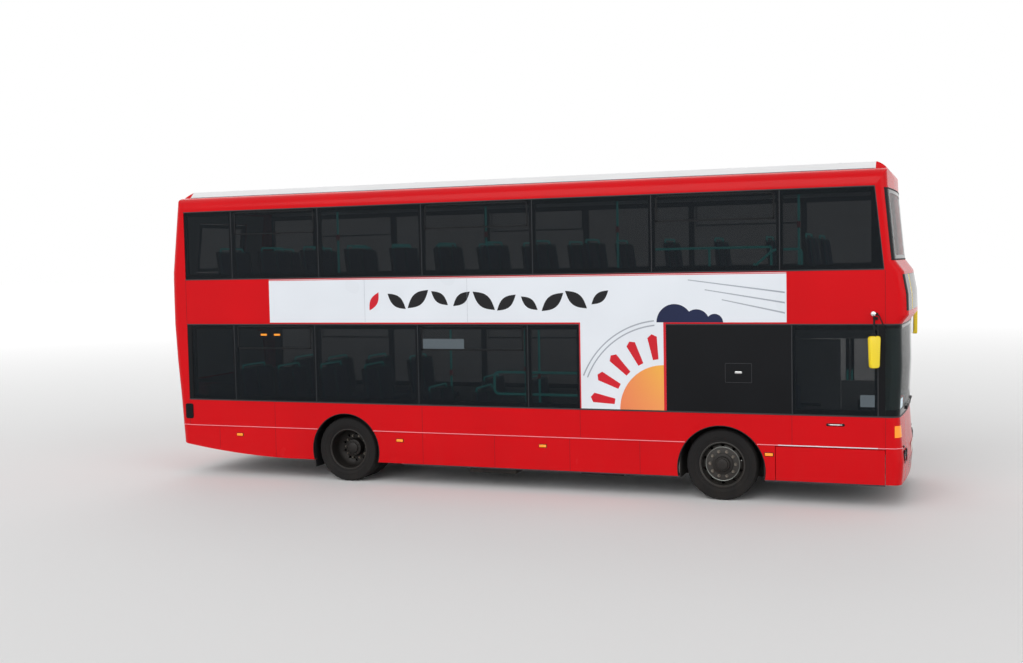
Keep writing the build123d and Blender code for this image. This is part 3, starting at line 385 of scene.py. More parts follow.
NUT = Finish("wheel_nuts", (0.2, 0.18, 0.155), "wheel_steel", 0.45, 1.0, Grain.CAST, 200, 0.0003, 0.35)
FLOOR = Finish("floor_covering", (0.06, 0.066, 0.08), "floor", 0.6, 0.0, Grain.SPECKLE, 160, 0.0003, 0.15,
    second=(0.24, 0.25, 0.28))
NOSING = Finish("step_nosing", (0.85, 0.62, 0.03), "floor", 0.55, 0.0, Grain.RIBS, 60, 0.0008)
PANEL = Finish("interior_panel", (0.32, 0.33, 0.33), "interior_panel", 0.5, scale=400, depth=0.0002, vary=0.06)
CEILING = Finish("ceiling_panel", (0.48, 0.49, 0.49), "interior_panel", 0.5, scale=400, depth=0.0002, vary=0.05)
LIGHT_STRIP = Finish("light_diffuser", (0.86, 0.88, 0.86), "interior_panel", 0.3, 0.0, Grain.RIBS, 120, 0.0003, 0.03,
    glow=0.6)
MOQUETTE = Finish("seat_moquette", (0.01, 0.018, 0.075), "seat_fabric", 0.9, 0.0, Grain.WEAVE, 42, 0.0012, 0.25,
    second=(0.03, 0.06, 0.2), sheen=0.4, shine=0.2)
PIPING = Finish("seat_piping", (0.03, 0.26, 0.28), "seat_fabric", 0.8, 0.0, Grain.WEAVE, 150, 0.0006, sheen=0.3,
    shine=0.2)
SHELL = Finish("seat_shell", (0.08, 0.09, 0.11), "interior_panel", 0.5, scale=350, depth=0.0003)
# The teal tubes glow a little: painted light standing in for the light inside the saloon.
TEAL_PAINTED_GLOW = Finish("teal_tube_painted_glow", (0.03, 0.5, 0.47), "handrail", 0.32, 0.0, Grain.PEEL, 200, 0.0002, 0.08, coat=0.3,
    glow=0.35)
LENS_CLEAR = Finish("lamp_glass", (0.8, 0.82, 0.84), "lamp_clear", 0.06, 0.0, Grain.RIBS, 50, 0.0008, 0.03, clear=0.6)
LENS_AMBER = Finish("amber_lens", (0.95, 0.3, 0.015), "lamp_amber", 0.12, 0.0, Grain.DOTS, 60, 0.0008, 0.06,
    glow=0.25)
LENS_RED = Finish("red_lens", (0.55, 0.006, 0.008), "lamp_red", 0.12, 0.0, Grain.DOTS, 60, 0.0008, 0.06, glow=0.08)
REFLECTOR = Finish("lamp_reflector", (0.86, 0.87, 0.88), "lamp_clear", 0.08, 1.0, vary=0.04)
DISPLAY = Finish("display_matrix", (0.008, 0.008, 0.009), "display", 0.3, 0.0, Grain.DOTS, 32, 0.0006,
    second=(0.04, 0.036, 0.016), shine=0.3)
DISPLAY_YELLOW = Finish("display_edge", (0.9, 0.66, 0.03), "display", 0.4, vary=0.06)
MIRROR_SHELL = Finish("mirror_shell", (0.93, 0.7, 0.01), "mirror_yellow", 0.25, 0.0, Grain.PEEL, 120, 0.0002, 0.05,
    coat=0.4)
MIRROR_GLASS = Finish("mirror_glass", (0.75, 0.77, 0.78), "mirror_yellow", 0.02, 1.0, vary=0.02, depth=0.00002)
CHROME = Finish("chrome", (0.8, 0.8, 0.8), "wheel_steel", 0.06, 1.0, vary=0.03, depth=0.00003)
ENGINE = Finish("engine_casting", (0.09, 0.1, 0.1), "engine", 0.6, 0.3, Grain.CAST, 70, 0.0015, 0.3)
MESH = Finish("louvre_mesh", (0.02, 0.02, 0.021), "chassis_black", 0.5, 0.4, Grain.DOTS, 26, 0.002, 0.2)
CAB_TRIM = Finish("cab_moulding", (0.04, 0.043, 0.05), "cab_trim", 0.6, scale=500, depth=0.0003)
# The sheets glow: painted light standing in for the sky lighting them through the glass.
GLOWING_PAPER = Finish("sheet_painted_glow", (0.62, 0.74, 0.82), "interior_panel", 0.7, scale=200, depth=0.0001, vary=0.05, glow=1.2)
PLATE = Finish("blank_plate", (0.72, 0.72, 0.68), "body_red", 0.4, 0.0, Grain.PEEL, 80, 0.0001)


def vinyl(name: str, color: Color, vary: float, shine: float = 0.25) -> Finish:
    """Self-adhesive film on the bodywork."""
    return Finish(name, color, "body_red", 0.3, grain=Grain.PEEL, scale=60, depth=0.0001, vary=vary, shine=shine)


VINYL_WHITE = vinyl("vinyl_white", (0.74, 0.78, 0.83), 0.04, 0.3)
VINYL_RED = vinyl("vinyl_red", (0.58, 0.006, 0.018), 0.08, 0.3)
VINYL_NAVY = vinyl("vinyl_navy", (0.008, 0.014, 0.055), 0.15)
VINYL_GREY = vinyl("vinyl_grey", (0.36, 0.39, 0.44), 0.08)
VINYL_INK = vinyl("vinyl_ink", (0.006, 0.006, 0.008), 0.1)


@dataclass(frozen=True)
class SunsetVinyl:
    """The advert's warm block: orange at its foot, yellow towards its right edge."""

    name: str = "vinyl_sunset"
    slot: str = "body_red"

    def make(self) -> bpy.types.Material:
        """Make the material, or give the one made before."""
        if self.name in bpy.data.materials:
            return bpy.data.materials[self.name]
        wiring = Wiring(self.name)
        split = wiring.node("SeparateXYZ", {0: wiring.coords})
        rise = wiring.spread(split.outputs[2], 1.16, 1.95, 0.0, 1.0)
        run = wiring.spread(split.outputs[0], 1.7, 2.3, 0.0, 1.0)
        warm = wiring.mix(rise, (0.88, 0.34, 0.1, 1), (0.86, 0.52, 0.05, 1))
        tone = wiring.mix(wiring.math("MULTIPLY", run, 0.8), (0.8, 0.22, 0.09, 1), warm)
        wiring.into("Base Color", tone)
        wiring.into("Roughness", wiring.spread(wiring.noise(3.0), 0.3, 0.7, 0.26, 0.36))
        wiring.feed(wiring.shader, {"Specular IOR Level": 0.3})
        wiring.bump(wiring.noise(60.0), 0.0001)
        return wiring.material


# The modelling bench: each mesh starts as a primitive, shaped in edit mode or by modifiers


def clear() -> None:
    """Deselect everything, before a primitive is added."""
    bpy.ops.object.select_all(action="DESELECT")


def activate(obj: Obj) -> None:
    """Select this object alone, and make it the active one."""
    clear()
    obj.select_set(True)
    bpy.context.view_layer.objects.active = obj


def named(name: str) -> Obj:
    """Name the primitive that was just added, and give it."""
    obj = bpy.context.view_layer.objects.active
    obj.name = name
    obj.data.name = name
    return obj


@contextmanager
def editing(obj: Obj, mode: str = "FACE", action: Optional[str] = "SELECT") -> Iterator[None]:
    """Go into edit mode for a few moves.

    Args:
        obj: The object.
        mode: What is selected: VERT, EDGE or FACE.
        action: SELECT, DESELECT, or None to keep what was picked.
    """
    activate(obj)
    bpy.ops.object.mode_set(mode="EDIT")
    bpy.ops.mesh.select_mode(type=mode)
    if action:
        bpy.ops.mesh.select_all(action=action)
    try:
        yield
    finally:
        bpy.ops.object.mode_set(mode="OBJECT")


def outline(name: str, points: Sequence[Point], filled: bool = True) -> Obj:
    """A closed outline through points, from a circle with as many corners."""
    clear()
    bpy.ops.mesh.primitive_circle_add(vertices=len(points), radius=1.0, fill_type="NGON" if filled else "NOTHING")
    obj = named(name)
    for vertex, point in zip(obj.data.vertices, points):
        vertex.co = point
    obj.data.update()
    return obj


def outward(obj: Obj) -> Obj:
    """Merge doubles and turn every face outwards."""
    with editing(obj, "VERT"):
        bpy.ops.mesh.remove_doubles(threshold=0.00001)
        bpy.ops.mesh.normals_make_consistent(inside=False)
    return obj


def slab(name: str, points: Sequence[Point], push: Point) -> Obj:
    """An outline extruded along a vector."""
    obj = outline(name, points)
    with editing(obj):
        bpy.ops.mesh.extrude_region_move(TRANSFORM_OT_translate={"value": tuple(push)})
    return outward(obj)


def sheet(name: str, rows: Sequence[Sequence[Point]], push: Point) -> Obj:
    """A curved sheet through rows of points, given a wall by a push along a vector.

    Args:
        name: The new object's name.
        rows: Rows of as many points each.
        push: The wall, as a vector.

    Returns:
        The closed sheet.
    """
    across, down = len(rows[0]) - 1, len(rows) - 1
    clear()
    bpy.ops.mesh.primitive_grid_add(x_subdivisions=across, y_subdivisions=down, size=2.0)
    obj = named(name)
    for vertex in obj.data.vertices:
        column, row = round((vertex.co.x + 1) / 2 * across), round((vertex.co.y + 1) / 2 * down)
        vertex.co = rows[row][column]
    obj.data.update()
    with editing(obj):
        bpy.ops.mesh.extrude_region_move(TRANSFORM_OT_translate={"value": tuple(push)})
    return outward(obj)


def box(name: str, low: Point, high: Point, edge: float = 0.0, segments: int = 2) -> Obj:
    """A block between two corners, with its edges rounded."""
    clear()
    middle = [(a + b) / 2 for a, b in zip(low, high)]
    size = [abs(b - a) for a, b in zip(low, high)]
    bpy.ops.mesh.primitive_cube_add(size=1.0, location=middle, scale=size)
    obj = named(name)
    apply_place(obj)
    return bevel(obj, edge, segments) if edge else obj


def twins(name: str, low: Point, high: Point, edge: float = 0.0, segments: int = 2) -> list[Obj]:
    """The same block on the offside and on the nearside."""
    return [box(name, (low[0], side * low[1], low[2]), (high[0], side * high[1], high[2]), edge, segments)
        for side in (-1, 1)]


def apply_place(obj: Obj) -> None:
    """Put the object's place into its mesh."""
    activate(obj)
    bpy.ops.object.transform_apply(location=True, rotation=True, scale=True)


def modify(obj: Obj, kind: str, **values: object) -> Obj:
    """Add a modifier with these settings, and apply it."""
    activate(obj)
    modifier = obj.modifiers.new(kind.lower(), kind)
    for key, value in values.items():
        setattr(modifier, key, value)
    bpy.ops.object.modifier_apply(modifier=modifier.name)
    return obj


def bevel(obj: Obj, width: float, segments: int = 2, angle: float = 30.0) -> Obj:
    """Round the edges that are sharper than an angle."""
    return modify(obj, "BEVEL", width=width, segments=segments, limit_method="ANGLE", angle_limit=math.radians(angle),
        harden_normals=False)


def cut(obj: Obj, tool: Obj) -> Obj:
    """Take a tool's shape out of an object, and drop the tool."""
    modify(obj, "BOOLEAN", operation="DIFFERENCE", object=tool, solver="EXACT")
    bpy.data.objects.remove(tool, do_unlink=True)
    return obj


def lathe(name: str, profile: Sequence[tuple[float, float]], origin: Point, axis: Point, steps: int = 64) -> Obj:
    """Spin a closed outline about an axis.

    Args:
        name: The new object's name.
        profile: Distance along the axis and radius of each corner.
        origin: A point on the axis.
        axis: The axis, a unit vector along X, Y or Z.
        steps: How many steps make the round.

    Returns:
        The turned object.
    """
    line, start = Vector(axis), Vector(origin)
    side = Vector((0, 0, 1)) if abs(line.z) < 0.5 else Vector((1, 0, 0))
    obj = outline(name, [start + line * along + side * radius for along, radius in profile], filled=False)
    with editing(obj, "VERT"):
        bpy.ops.mesh.spin(steps=steps, angle=2 * math.pi, center=start, axis=line)
    return outward(obj)


def rod(name: str, start: Point, end: Point, radius: float, sides: int = 14) -> Obj:
    """A round bar with softened ends."""
    line = Vector(end) - Vector(start)
    clear()
    bpy.ops.mesh.primitive_cylinder_add(vertices=sides, radius=radius, depth=line.length,
        location=(Vector(start) + Vector(end)) / 2, rotation=line.to_track_quat("Z", "Y").to_euler())
    obj = named(name)
    apply_place(obj)
    return bevel(obj, min(radius, line.length) * 0.12, 1, 60)


def knob(name: str, centre: Point, radius: float, squash: Point = (1, 1, 1)) -> Obj:
    """A round knob, flattened as asked."""
    clear()
    bpy.ops.mesh.primitive_uv_sphere_add(segments=20, ring_count=12, radius=radius, location=centre, scale=squash)
    obj = named(name)
    apply_place(obj)
    return obj


def pipe(name: str, points: Sequence[Point], radius: float, bend: float = 0.0) -> Obj:
    """A bent tube through points, with its corners rounded."""
    route: list[Vector] = [Vector(points[0])]
    for before, corner, after in zip(points, points[1:], points[2:]):
        here = Vector(corner)
        back, on = (Vector(before) - here), (Vector(after) - here)
        reach = min(bend, back.length * 0.45, on.length * 0.45)
        first, last = here + back.normalized() * reach, here + on.normalized() * reach
        for step in range(7):
            t = step / 6
            route.append(first * (1 - t) ** 2 + here * 2 * t * (1 - t) + last * t * t)
    route.append(Vector(points[-1]))
    curve = bpy.data.curves.new(name, "CURVE")
    curve.dimensions = "3D"
    curve.bevel_depth, curve.bevel_resolution, curve.use_fill_caps = radius, 3, True
    spline = curve.splines.new("POLY")
    spline.points.add(len(route) - 1)
    for place, point in zip(spline.points, route):
        place.co = (*point, 1.0)
    obj = bpy.data.objects.new(name, curve)
    bpy.context.scene.collection.objects.link(obj)
    activate(obj)
    bpy.ops.object.convert(target="MESH")
    return named(name)


def copy(obj: Obj, matrix: Matrix) -> Obj:
    """A copy with its own mesh, moved by a matrix and kept facing outwards."""
    twin = obj.copy()
    twin.data = obj.data.copy()
    twin.data.transform(matrix)
    if matrix.determinant() < 0:
        twin.data.flip_normals()
    bpy.context.scene.collection.objects.link(twin)
    return twin


def join(name: str, parts: Sequence[Obj]) -> Obj:
    """Several meshes as one."""
    activate(parts[0])
    for part in parts:
        part.select_set(True)
    if len(parts) > 1:
        bpy.ops.object.join()
    return named(name)


def ring_points(cx: float, cz: float, radius: float, start: float, end: float, count: int, y: float) -> list[Point]:
    """Points on an arc in a side view, with angles in degrees from +X towards +Z."""
    angles = [math.radians(start + (end - start) * i / count) for i in range(count + 1)]
    return [(cx + radius * math.cos(a), y, cz + radius * math.sin(a)) for a in angles]


def rounded(x_low: float, x_high: float, z_low: float, z_high: float, radius: float, y: float,
        steps: int = 5) -> list[Point]:
    """A rectangle with round corners in a side view, as a closed outline."""
    points: list[Point] = []
    for cx, cz, start in ((x_high - radius, z_high - radius, 0), (x_low + radius, z_high - radius, 90),
            (x_low + radius, z_low + radius, 180), (x_high - radius, z_low + radius, 270)):
        points += ring_points(cx, cz, radius, start, start + 90, steps, y)
    return points


def end_band(name: str, z: float, height: float, out: float, back: float, front: bool = True,
        half: float = HALF_WIDTH, lean: float = 0.0) -> Obj:
    """A strip round one end of the body.

    Args:
        name: The new object's name.
        z: Its lower edge.
        height: Its height.
        out: How far its outer face stands off the body.
        back: How far its inner face stands off the body; negative inside it.
        front: True for the nose, False for the tail.
        half: It stops at this distance from the centre line.
        lean: How far its top stands forward of its foot.

    Returns:
        The strip.
    """
    edges = end_path(z, out, front, half) + end_path(z, back, front, half)[::-1]
    return slab(name, edges, (lean, 0, height))


@dataclass
class Assembly:
    """A sub-assembly: it builds its meshes, then dresses them.

    Attributes:
        body: The CAD body that its pieces ride on.
        triangles: How many triangles it has added.
    """

    body: str = "bodywork"
    triangles: int = 0

    def dress(self, obj: Obj, finish: object, replaces: Sequence[str] = (), body: Optional[str] = None,
            angle: float = 35.0) -> Obj:
        """Give a finished mesh its material, smoothing and body.

        Args:
            obj: The mesh, with its place in it.
            finish: A finish with make() and slot.
            replaces: CAD nodes that the piece stands for.
            body: Another body than the assembly's.
            angle: Edges flatter than this are shaded smooth.

        Returns:
            The piece.
        """
        obj.data.materials.clear()
        obj.data.materials.append(finish.make())
        activate(obj)
        bpy.ops.object.shade_smooth_by_angle(angle=math.radians(angle))
        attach(obj, body or self.body)
        if replaces:
            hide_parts(*replaces)
        count = sum(len(face.vertices) - 2 for face in obj.data.polygons)
        self.triangles += count
        LOG.info("%s: %s, %d triangles", type(self).__name__, obj.name, count)
        return obj

    def put(self, name: str, parts: Sequence[Obj], finish: object, replaces: Sequence[str] = (),
            body: Optional[str] = None, angle: float = 35.0) -> Obj:
        """Join meshes under one name, and dress them as dress() does."""
        return self.dress(join(name, parts), finish, replaces, body, angle)

    def build(self) -> None:
        """Build every piece of the assembly."""
        raise NotImplementedError


# Carried-over solids

# Columns: finish, the nodes that wear it
NODE_FINISHES: tuple[tuple[Finish, str], ...] = (
    (CHASSIS, "chassis_frame wheel_boxes engine_bulkhead front_axle rear_axle left_knuckle right_knuckle"),
    (FLOOR, "lower_floor rear_floor cab_platform upper_floor"),
    (RED, "offside_lower_panels nearside_lower_panels side_bands roof_coves roof_domes front_dash_panel "
     "front_band rear_lower_panel rear_upper_panel engine_cover skirt_flap"),
    (FRAME_BLACK, "lower_window_frames upper_window_frames windscreen_frame front_door_front_leaf "
     "front_door_rear_leaf centre_door_front_leaf centre_door_rear_leaf emergency_window_frame"),
    (WINDOW, "side_glazing emergency_window"),
    (GLOSS_BLACK, "blank_panels"),
    (WHITE_ROOF, "roof_panel"),
    (SCREEN, "windscreen upper_windscreen"),
    (LENS_CLEAR, "headlamps"),
    (LENS_AMBER, "side_lamps"),
    (LENS_RED, "tail_lamps"),
    (DISPLAY, "destination_displays"),
    (PANEL, "staircase cab_partition cab_door"),
    (MOQUETTE, "passenger_seats driver_seat"),
    (CAB_TRIM, "dashboard"),
    (TEAL_PAINTED_GLOW, "handrails"),
    (MIRROR_SHELL, "mirrors"),
    (RUBBER, "wipers"),
    (ENGINE, "engine_block"),
    (TYRE, "front_left_tyre front_right_tyre rear_left_tyres rear_right_tyres"),
    (RIM, "front_left_wheel front_right_wheel rear_left_wheels rear_right_wheels"),
)


def dress_solids() -> None:
    """Give every carried-over CAD node its finish."""
    for finish, names in NODE_FINISHES:
        for name in names.split():
            node = frame["nodes"][name]
            node.data.materials.clear()
            node.data.materials.append(finish.make())


# Running gear


@dataclass
class RollingStock(Assembly):
    """Tyres with tread, and disc wheels with nuts, hub and hand holes."""

    tyre_radius: float = 0.47
    half_tyre: float = 0.1375
    rim_radius: float = 0.292
    stud_circle: float = 0.1675
    nuts: int = 10
    twin_half: float = 0.156
    steps: int = 96

    def tyre(self, name: str, axle_x: float, y: float, side: int) -> Obj:
        """A tyre with four grooves, notched shoulders and ribbed walls."""
        half, top, rim = self.half_tyre, self.tyre_radius, self.rim_radius
        crown: list[tuple[float, float]] = []
        for edge in (-0.084, -0.028, 0.028, 0.084):
            for along, drop in ((-0.007, 0.0), (-0.005, 0.013), (0.005, 0.013), (0.007, 0.0)):
                crown.append((edge + along, top - drop))
        wall = [(half - 0.026, top - 0.004), (half - 0.006, top - 0.02), (half - 0.004, top - 0.045),
            (half - 0.001, top - 0.08), (half, top - 0.1), (half - 0.003, top - 0.104), (half, top - 0.108),
            (half - 0.006, top - 0.135), (half - 0.016, top - 0.15), (half - 0.014, top - 0.158),
            (half - 0.026, rim + 0.008), (half - 0.032, rim)]
        profile = crown + wall + [(-along, radius) for along, radius in reversed(wall)]
        obj = self.turned(name, profile, axle_x, y, side, self.steps)
        for vertex in obj.data.vertices:
            across, x, z = abs(vertex.co.y - y), vertex.co.x - axle_x, vertex.co.z - WHEEL_Z
            radius = math.hypot(x, z)
            if across > 0.086 and radius > top - 0.05:
                step = round(math.degrees(math.atan2(z, x)) / (360 / self.steps)) % 3
                if step == 0:
                    factor = (radius - 0.005) / radius
                    vertex.co.x, vertex.co.z = axle_x + x * factor, WHEEL_Z + z * factor
        obj.data.update()
        return obj

    def lean(self, obj: Obj, side: int) -> Obj:
        """Lean a front wheel's upright piece out at its top, about the wheel's middle."""
        middle = Vector((FRONT_X, side * FRONT_TRACK_Y, WHEEL_Z))
        turn = Matrix.Rotation(-side * CAMBER, 4, "X")
        lift = Matrix.Translation((0, 0, FRONT_WHEEL_Z - WHEEL_Z))
        obj.data.transform(lift @ Matrix.Translation(middle) @ turn @ Matrix.Translation(-middle))
        return obj

    def nut_ring(self, axle_x: float, y_face: float, side: int) -> list[Obj]:
        """Ten nuts on washers, with the stud ends through them."""
        clear()
        bpy.ops.mesh.primitive_cylinder_add(vertices=6, radius=0.0185, depth=0.022, location=(0, 0.015, 0),
            rotation=(math.pi / 2, 0, 0))
        nut = named("nut")
        apply_place(nut)
        bevel(nut, 0.0025, 1)
        washer = rod("washer", (0, 0.0, 0), (0, 0.005, 0), 0.022, 16)
        stud = rod("stud", (0, 0.0, 0), (0, 0.0322, 0), 0.0105, 10)
        unit = join("nut_unit", [nut, washer, stud])
        made = []
        for index in range(self.nuts):
            angle = 2 * math.pi * index / self.nuts
            place = Matrix.Translation((axle_x + self.stud_circle * math.cos(angle), y_face,
                WHEEL_Z + self.stud_circle * math.sin(angle)))
            turn = Matrix.Rotation(angle * 1.7, 4, "Y")
            flip = Matrix.Scale(-1, 4, (0, 1, 0)) if side < 0 else Matrix.Identity(4)
            made.append(copy(unit, place @ flip @ turn))
        bpy.data.objects.remove(unit, do_unlink=True)
        return made

    def around(self, axle_x: float, circle: float, count: int, shift: float = 0.0) -> list[tuple[float, float]]:
        """Even places on a circle about an axle, as x and z."""
        angles = [2 * math.pi * (index + shift) / count for index in range(count)]
        return [(axle_x + circle * math.cos(a), WHEEL_Z + circle * math.sin(a)) for a in angles]

    def hand_holes(self, obj: Obj, axle_x: float, y_face: float, circle: float, radius: float) -> None:
        """Cut the ring of hand holes through a disc."""
        tools = [rod("hole", (x, y_face - 0.06, z), (x, y_face + 0.06, z), radius, 16)
            for x, z in self.around(axle_x, circle, 10, 0.5)]
        cut(obj, join("holes", tools))

    def bolts(self, axle_x: float, circle: float, count: int, y_low: float, y_high: float) -> list[Obj]:
        """A ring of small bolt heads."""
        return [rod("bolt", (x, y_low, z), (x, y_high, z), 0.007, 6) for x, z in self.around(axle_x, circle, count)]

    def turned(self, name: str, profile: Sequence[tuple[float, float]], axle_x: float, y: float, side: int,
            steps: int = 80) -> Obj:
        """A piece turned about an axle, its profile measured outwards from y."""
        return lathe(name, profile, (axle_x, y, WHEEL_Z), (0, side, 0), steps)

    def front_wheel(self, side: int, label: str) -> None:
        """A front wheel: rim with its lips, raised disc with a pale ring painted on its shoulder as a highlight, nuts
        and hub.
        """
        y, body = side * FRONT_TRACK_Y, f"front_{label}_roller"
        rim = self.rim_radius
        disc = 0.058
        profile = [(-0.105, rim), (-0.105, rim + 0.012), (-0.112, rim + 0.012), (-0.114, rim - 0.004),
            (-0.104, rim - 0.014), (0.01, 0.276), (disc - 0.016, 0.232), (disc - 0.012, 0.219), (disc - 0.012, 0.125),
            (disc, 0.125), (disc, 0.216), (disc - 0.003, 0.232), (0.03, 0.266), (0.058, 0.277), (0.098, 0.278),
            (0.104, rim - 0.014), (0.114, rim - 0.004), (0.112, rim + 0.012), (0.105, rim + 0.012), (0.105, rim)]
        wheel = self.turned(f"front_{label}_rim", profile, FRONT_X, y, side)
        self.hand_holes(wheel, FRONT_X, y + side * 0.038, 0.249, 0.023)
        self.dress(self.lean(wheel, side), RIM, (f"front_{label}_wheel",), body)
        # The guard ring's pale finish is a painted highlight on the disc's shoulder.
        guard = self.turned(f"front_{label}_disc_shoulder_highlight", [(disc - 0.003, 0.216), (disc + 0.004, 0.217),
            (disc + 0.006, 0.222), (disc + 0.002, 0.228), (disc - 0.006, 0.23)], FRONT_X, y, side)
        self.dress(self.lean(guard, side), DISC_HIGHLIGHT, (), body)
        nuts = join(f"front_{label}_nuts", self.nut_ring(FRONT_X, y + side * disc, side))
        self.dress(self.lean(nuts, side), NUT, (), body)
        hub = self.turned(f"front_{label}_hub", [(0.0, 0.041), (0.0, 0.11), (disc, 0.138), (0.07, 0.138),
            (0.074, 0.132), (0.076, 0.104), (0.098, 0.098), (0.104, 0.092), (0.106, 0.078), (0.121, 0.072),
            (0.125, 0.064), (0.125, 0.03), (0.128, 0.026), (0.128, 0.0), (0.119, 0.0), (0.119, 0.041)], FRONT_X, y,
            side, 64)
        bolts = self.bolts(FRONT_X, 0.088, 8, y + side * 0.1, y + side * 0.112)
        self.dress(self.lean(join(f"front_{label}_hub", [hub, *bolts]), side), DISH, (), body)
        valve = rod(f"front_{label}_valve", (FRONT_X + 0.235, y + side * 0.04, 0.52),
            (FRONT_X + 0.252, y + side * 0.095, 0.53), 0.006, 10)
        self.dress(self.lean(valve, side), BRIGHT, (), body)

    def rear_wheels(self, side: int, label: str) -> None:
        """A pair of twin wheels: two dished discs back to back, and the hub in the outer dish."""
        y, body, half, rim = side * REAR_TRACK_Y, f"rear_{label}_roller", self.twin_half, self.rim_radius
        outer = [(half + 0.105, rim), (half + 0.105, rim + 0.012), (half + 0.112, rim + 0.012),
            (half + 0.114, rim - 0.004), (half + 0.104, rim - 0.014), (half + 0.05, 0.279), (0.085, 0.277),
            (0.055, 0.262), (0.018, 0.216), (0.014, 0.2), (0.014, 0.125)]
        inner = [(-0.014, 0.125), (-0.014, 0.2), (-0.018, 0.216), (-0.055, 0.262), (-0.085, 0.277),
            (-half - 0.05, 0.279), (-half - 0.105, 0.279), (-half - 0.105, rim), (0.105 - half, rim),
            (0.105 - half, 0.27), (0.0, 0.212), (half - 0.105, 0.27), (half - 0.105, rim)]
        wheel = self.turned(f"rear_{label}_rims", outer + inner, REAR_X, y, side)
        self.hand_holes(wheel, REAR_X, y, 0.198, 0.019)
        self.dress(wheel, DISH, (f"rear_{label}_wheels",), body)
        hub = self.turned(f"rear_{label}_hub", [(-0.11, 0.041), (-0.11, 0.124), (0.0, 0.13), (0.06, 0.132),
            (0.118, 0.12), (0.122, 0.112), (0.124, 0.084), (0.14, 0.08), (0.146, 0.07), (0.146, 0.0), (0.13, 0.0),
            (0.13, 0.041)], REAR_X, y, side, 64)
        bolts = self.bolts(REAR_X, 0.099, 12, y + side * 0.12, y + side * 0.133)
        self.put(f"rear_{label}_hub", [hub, *bolts], DISH, (), body)
        edge = self.turned(f"rear_{label}_rim_edge", [(half + 0.1125, rim + 0.004), (half + 0.1145, rim + 0.003),
            (half + 0.1155, rim - 0.001), (half + 0.1145, rim - 0.005), (half + 0.1125, rim - 0.006)], REAR_X, y,
            side)
        self.dress(edge, RIM, (), body)
        nuts = join(f"rear_{label}_nuts", self.nut_ring(REAR_X, y + side * 0.014, side))
        self.dress(nuts, NUT, (), body)

    def build(self) -> None:
        """Build the four corners."""
        for side, label in ((1, "left"), (-1, "right")):
            front = self.tyre(f"front_{label}_tyre_tread", FRONT_X, side * FRONT_TRACK_Y, side)
            self.dress(self.lean(front, side), TYRE, (f"front_{label}_tyre",), f"front_{label}_roller", 28)
            twins = [self.tyre("twin", REAR_X, side * (REAR_TRACK_Y + offset), side)
                for offset in (-self.twin_half, self.twin_half)]
            self.put(f"rear_{label}_tyre_treads", twins, TYRE, (f"rear_{label}_tyres",), f"rear_{label}_roller", 28)
            self.front_wheel(side, label)
            self.rear_wheels(side, label)


# Outside of the bodywork


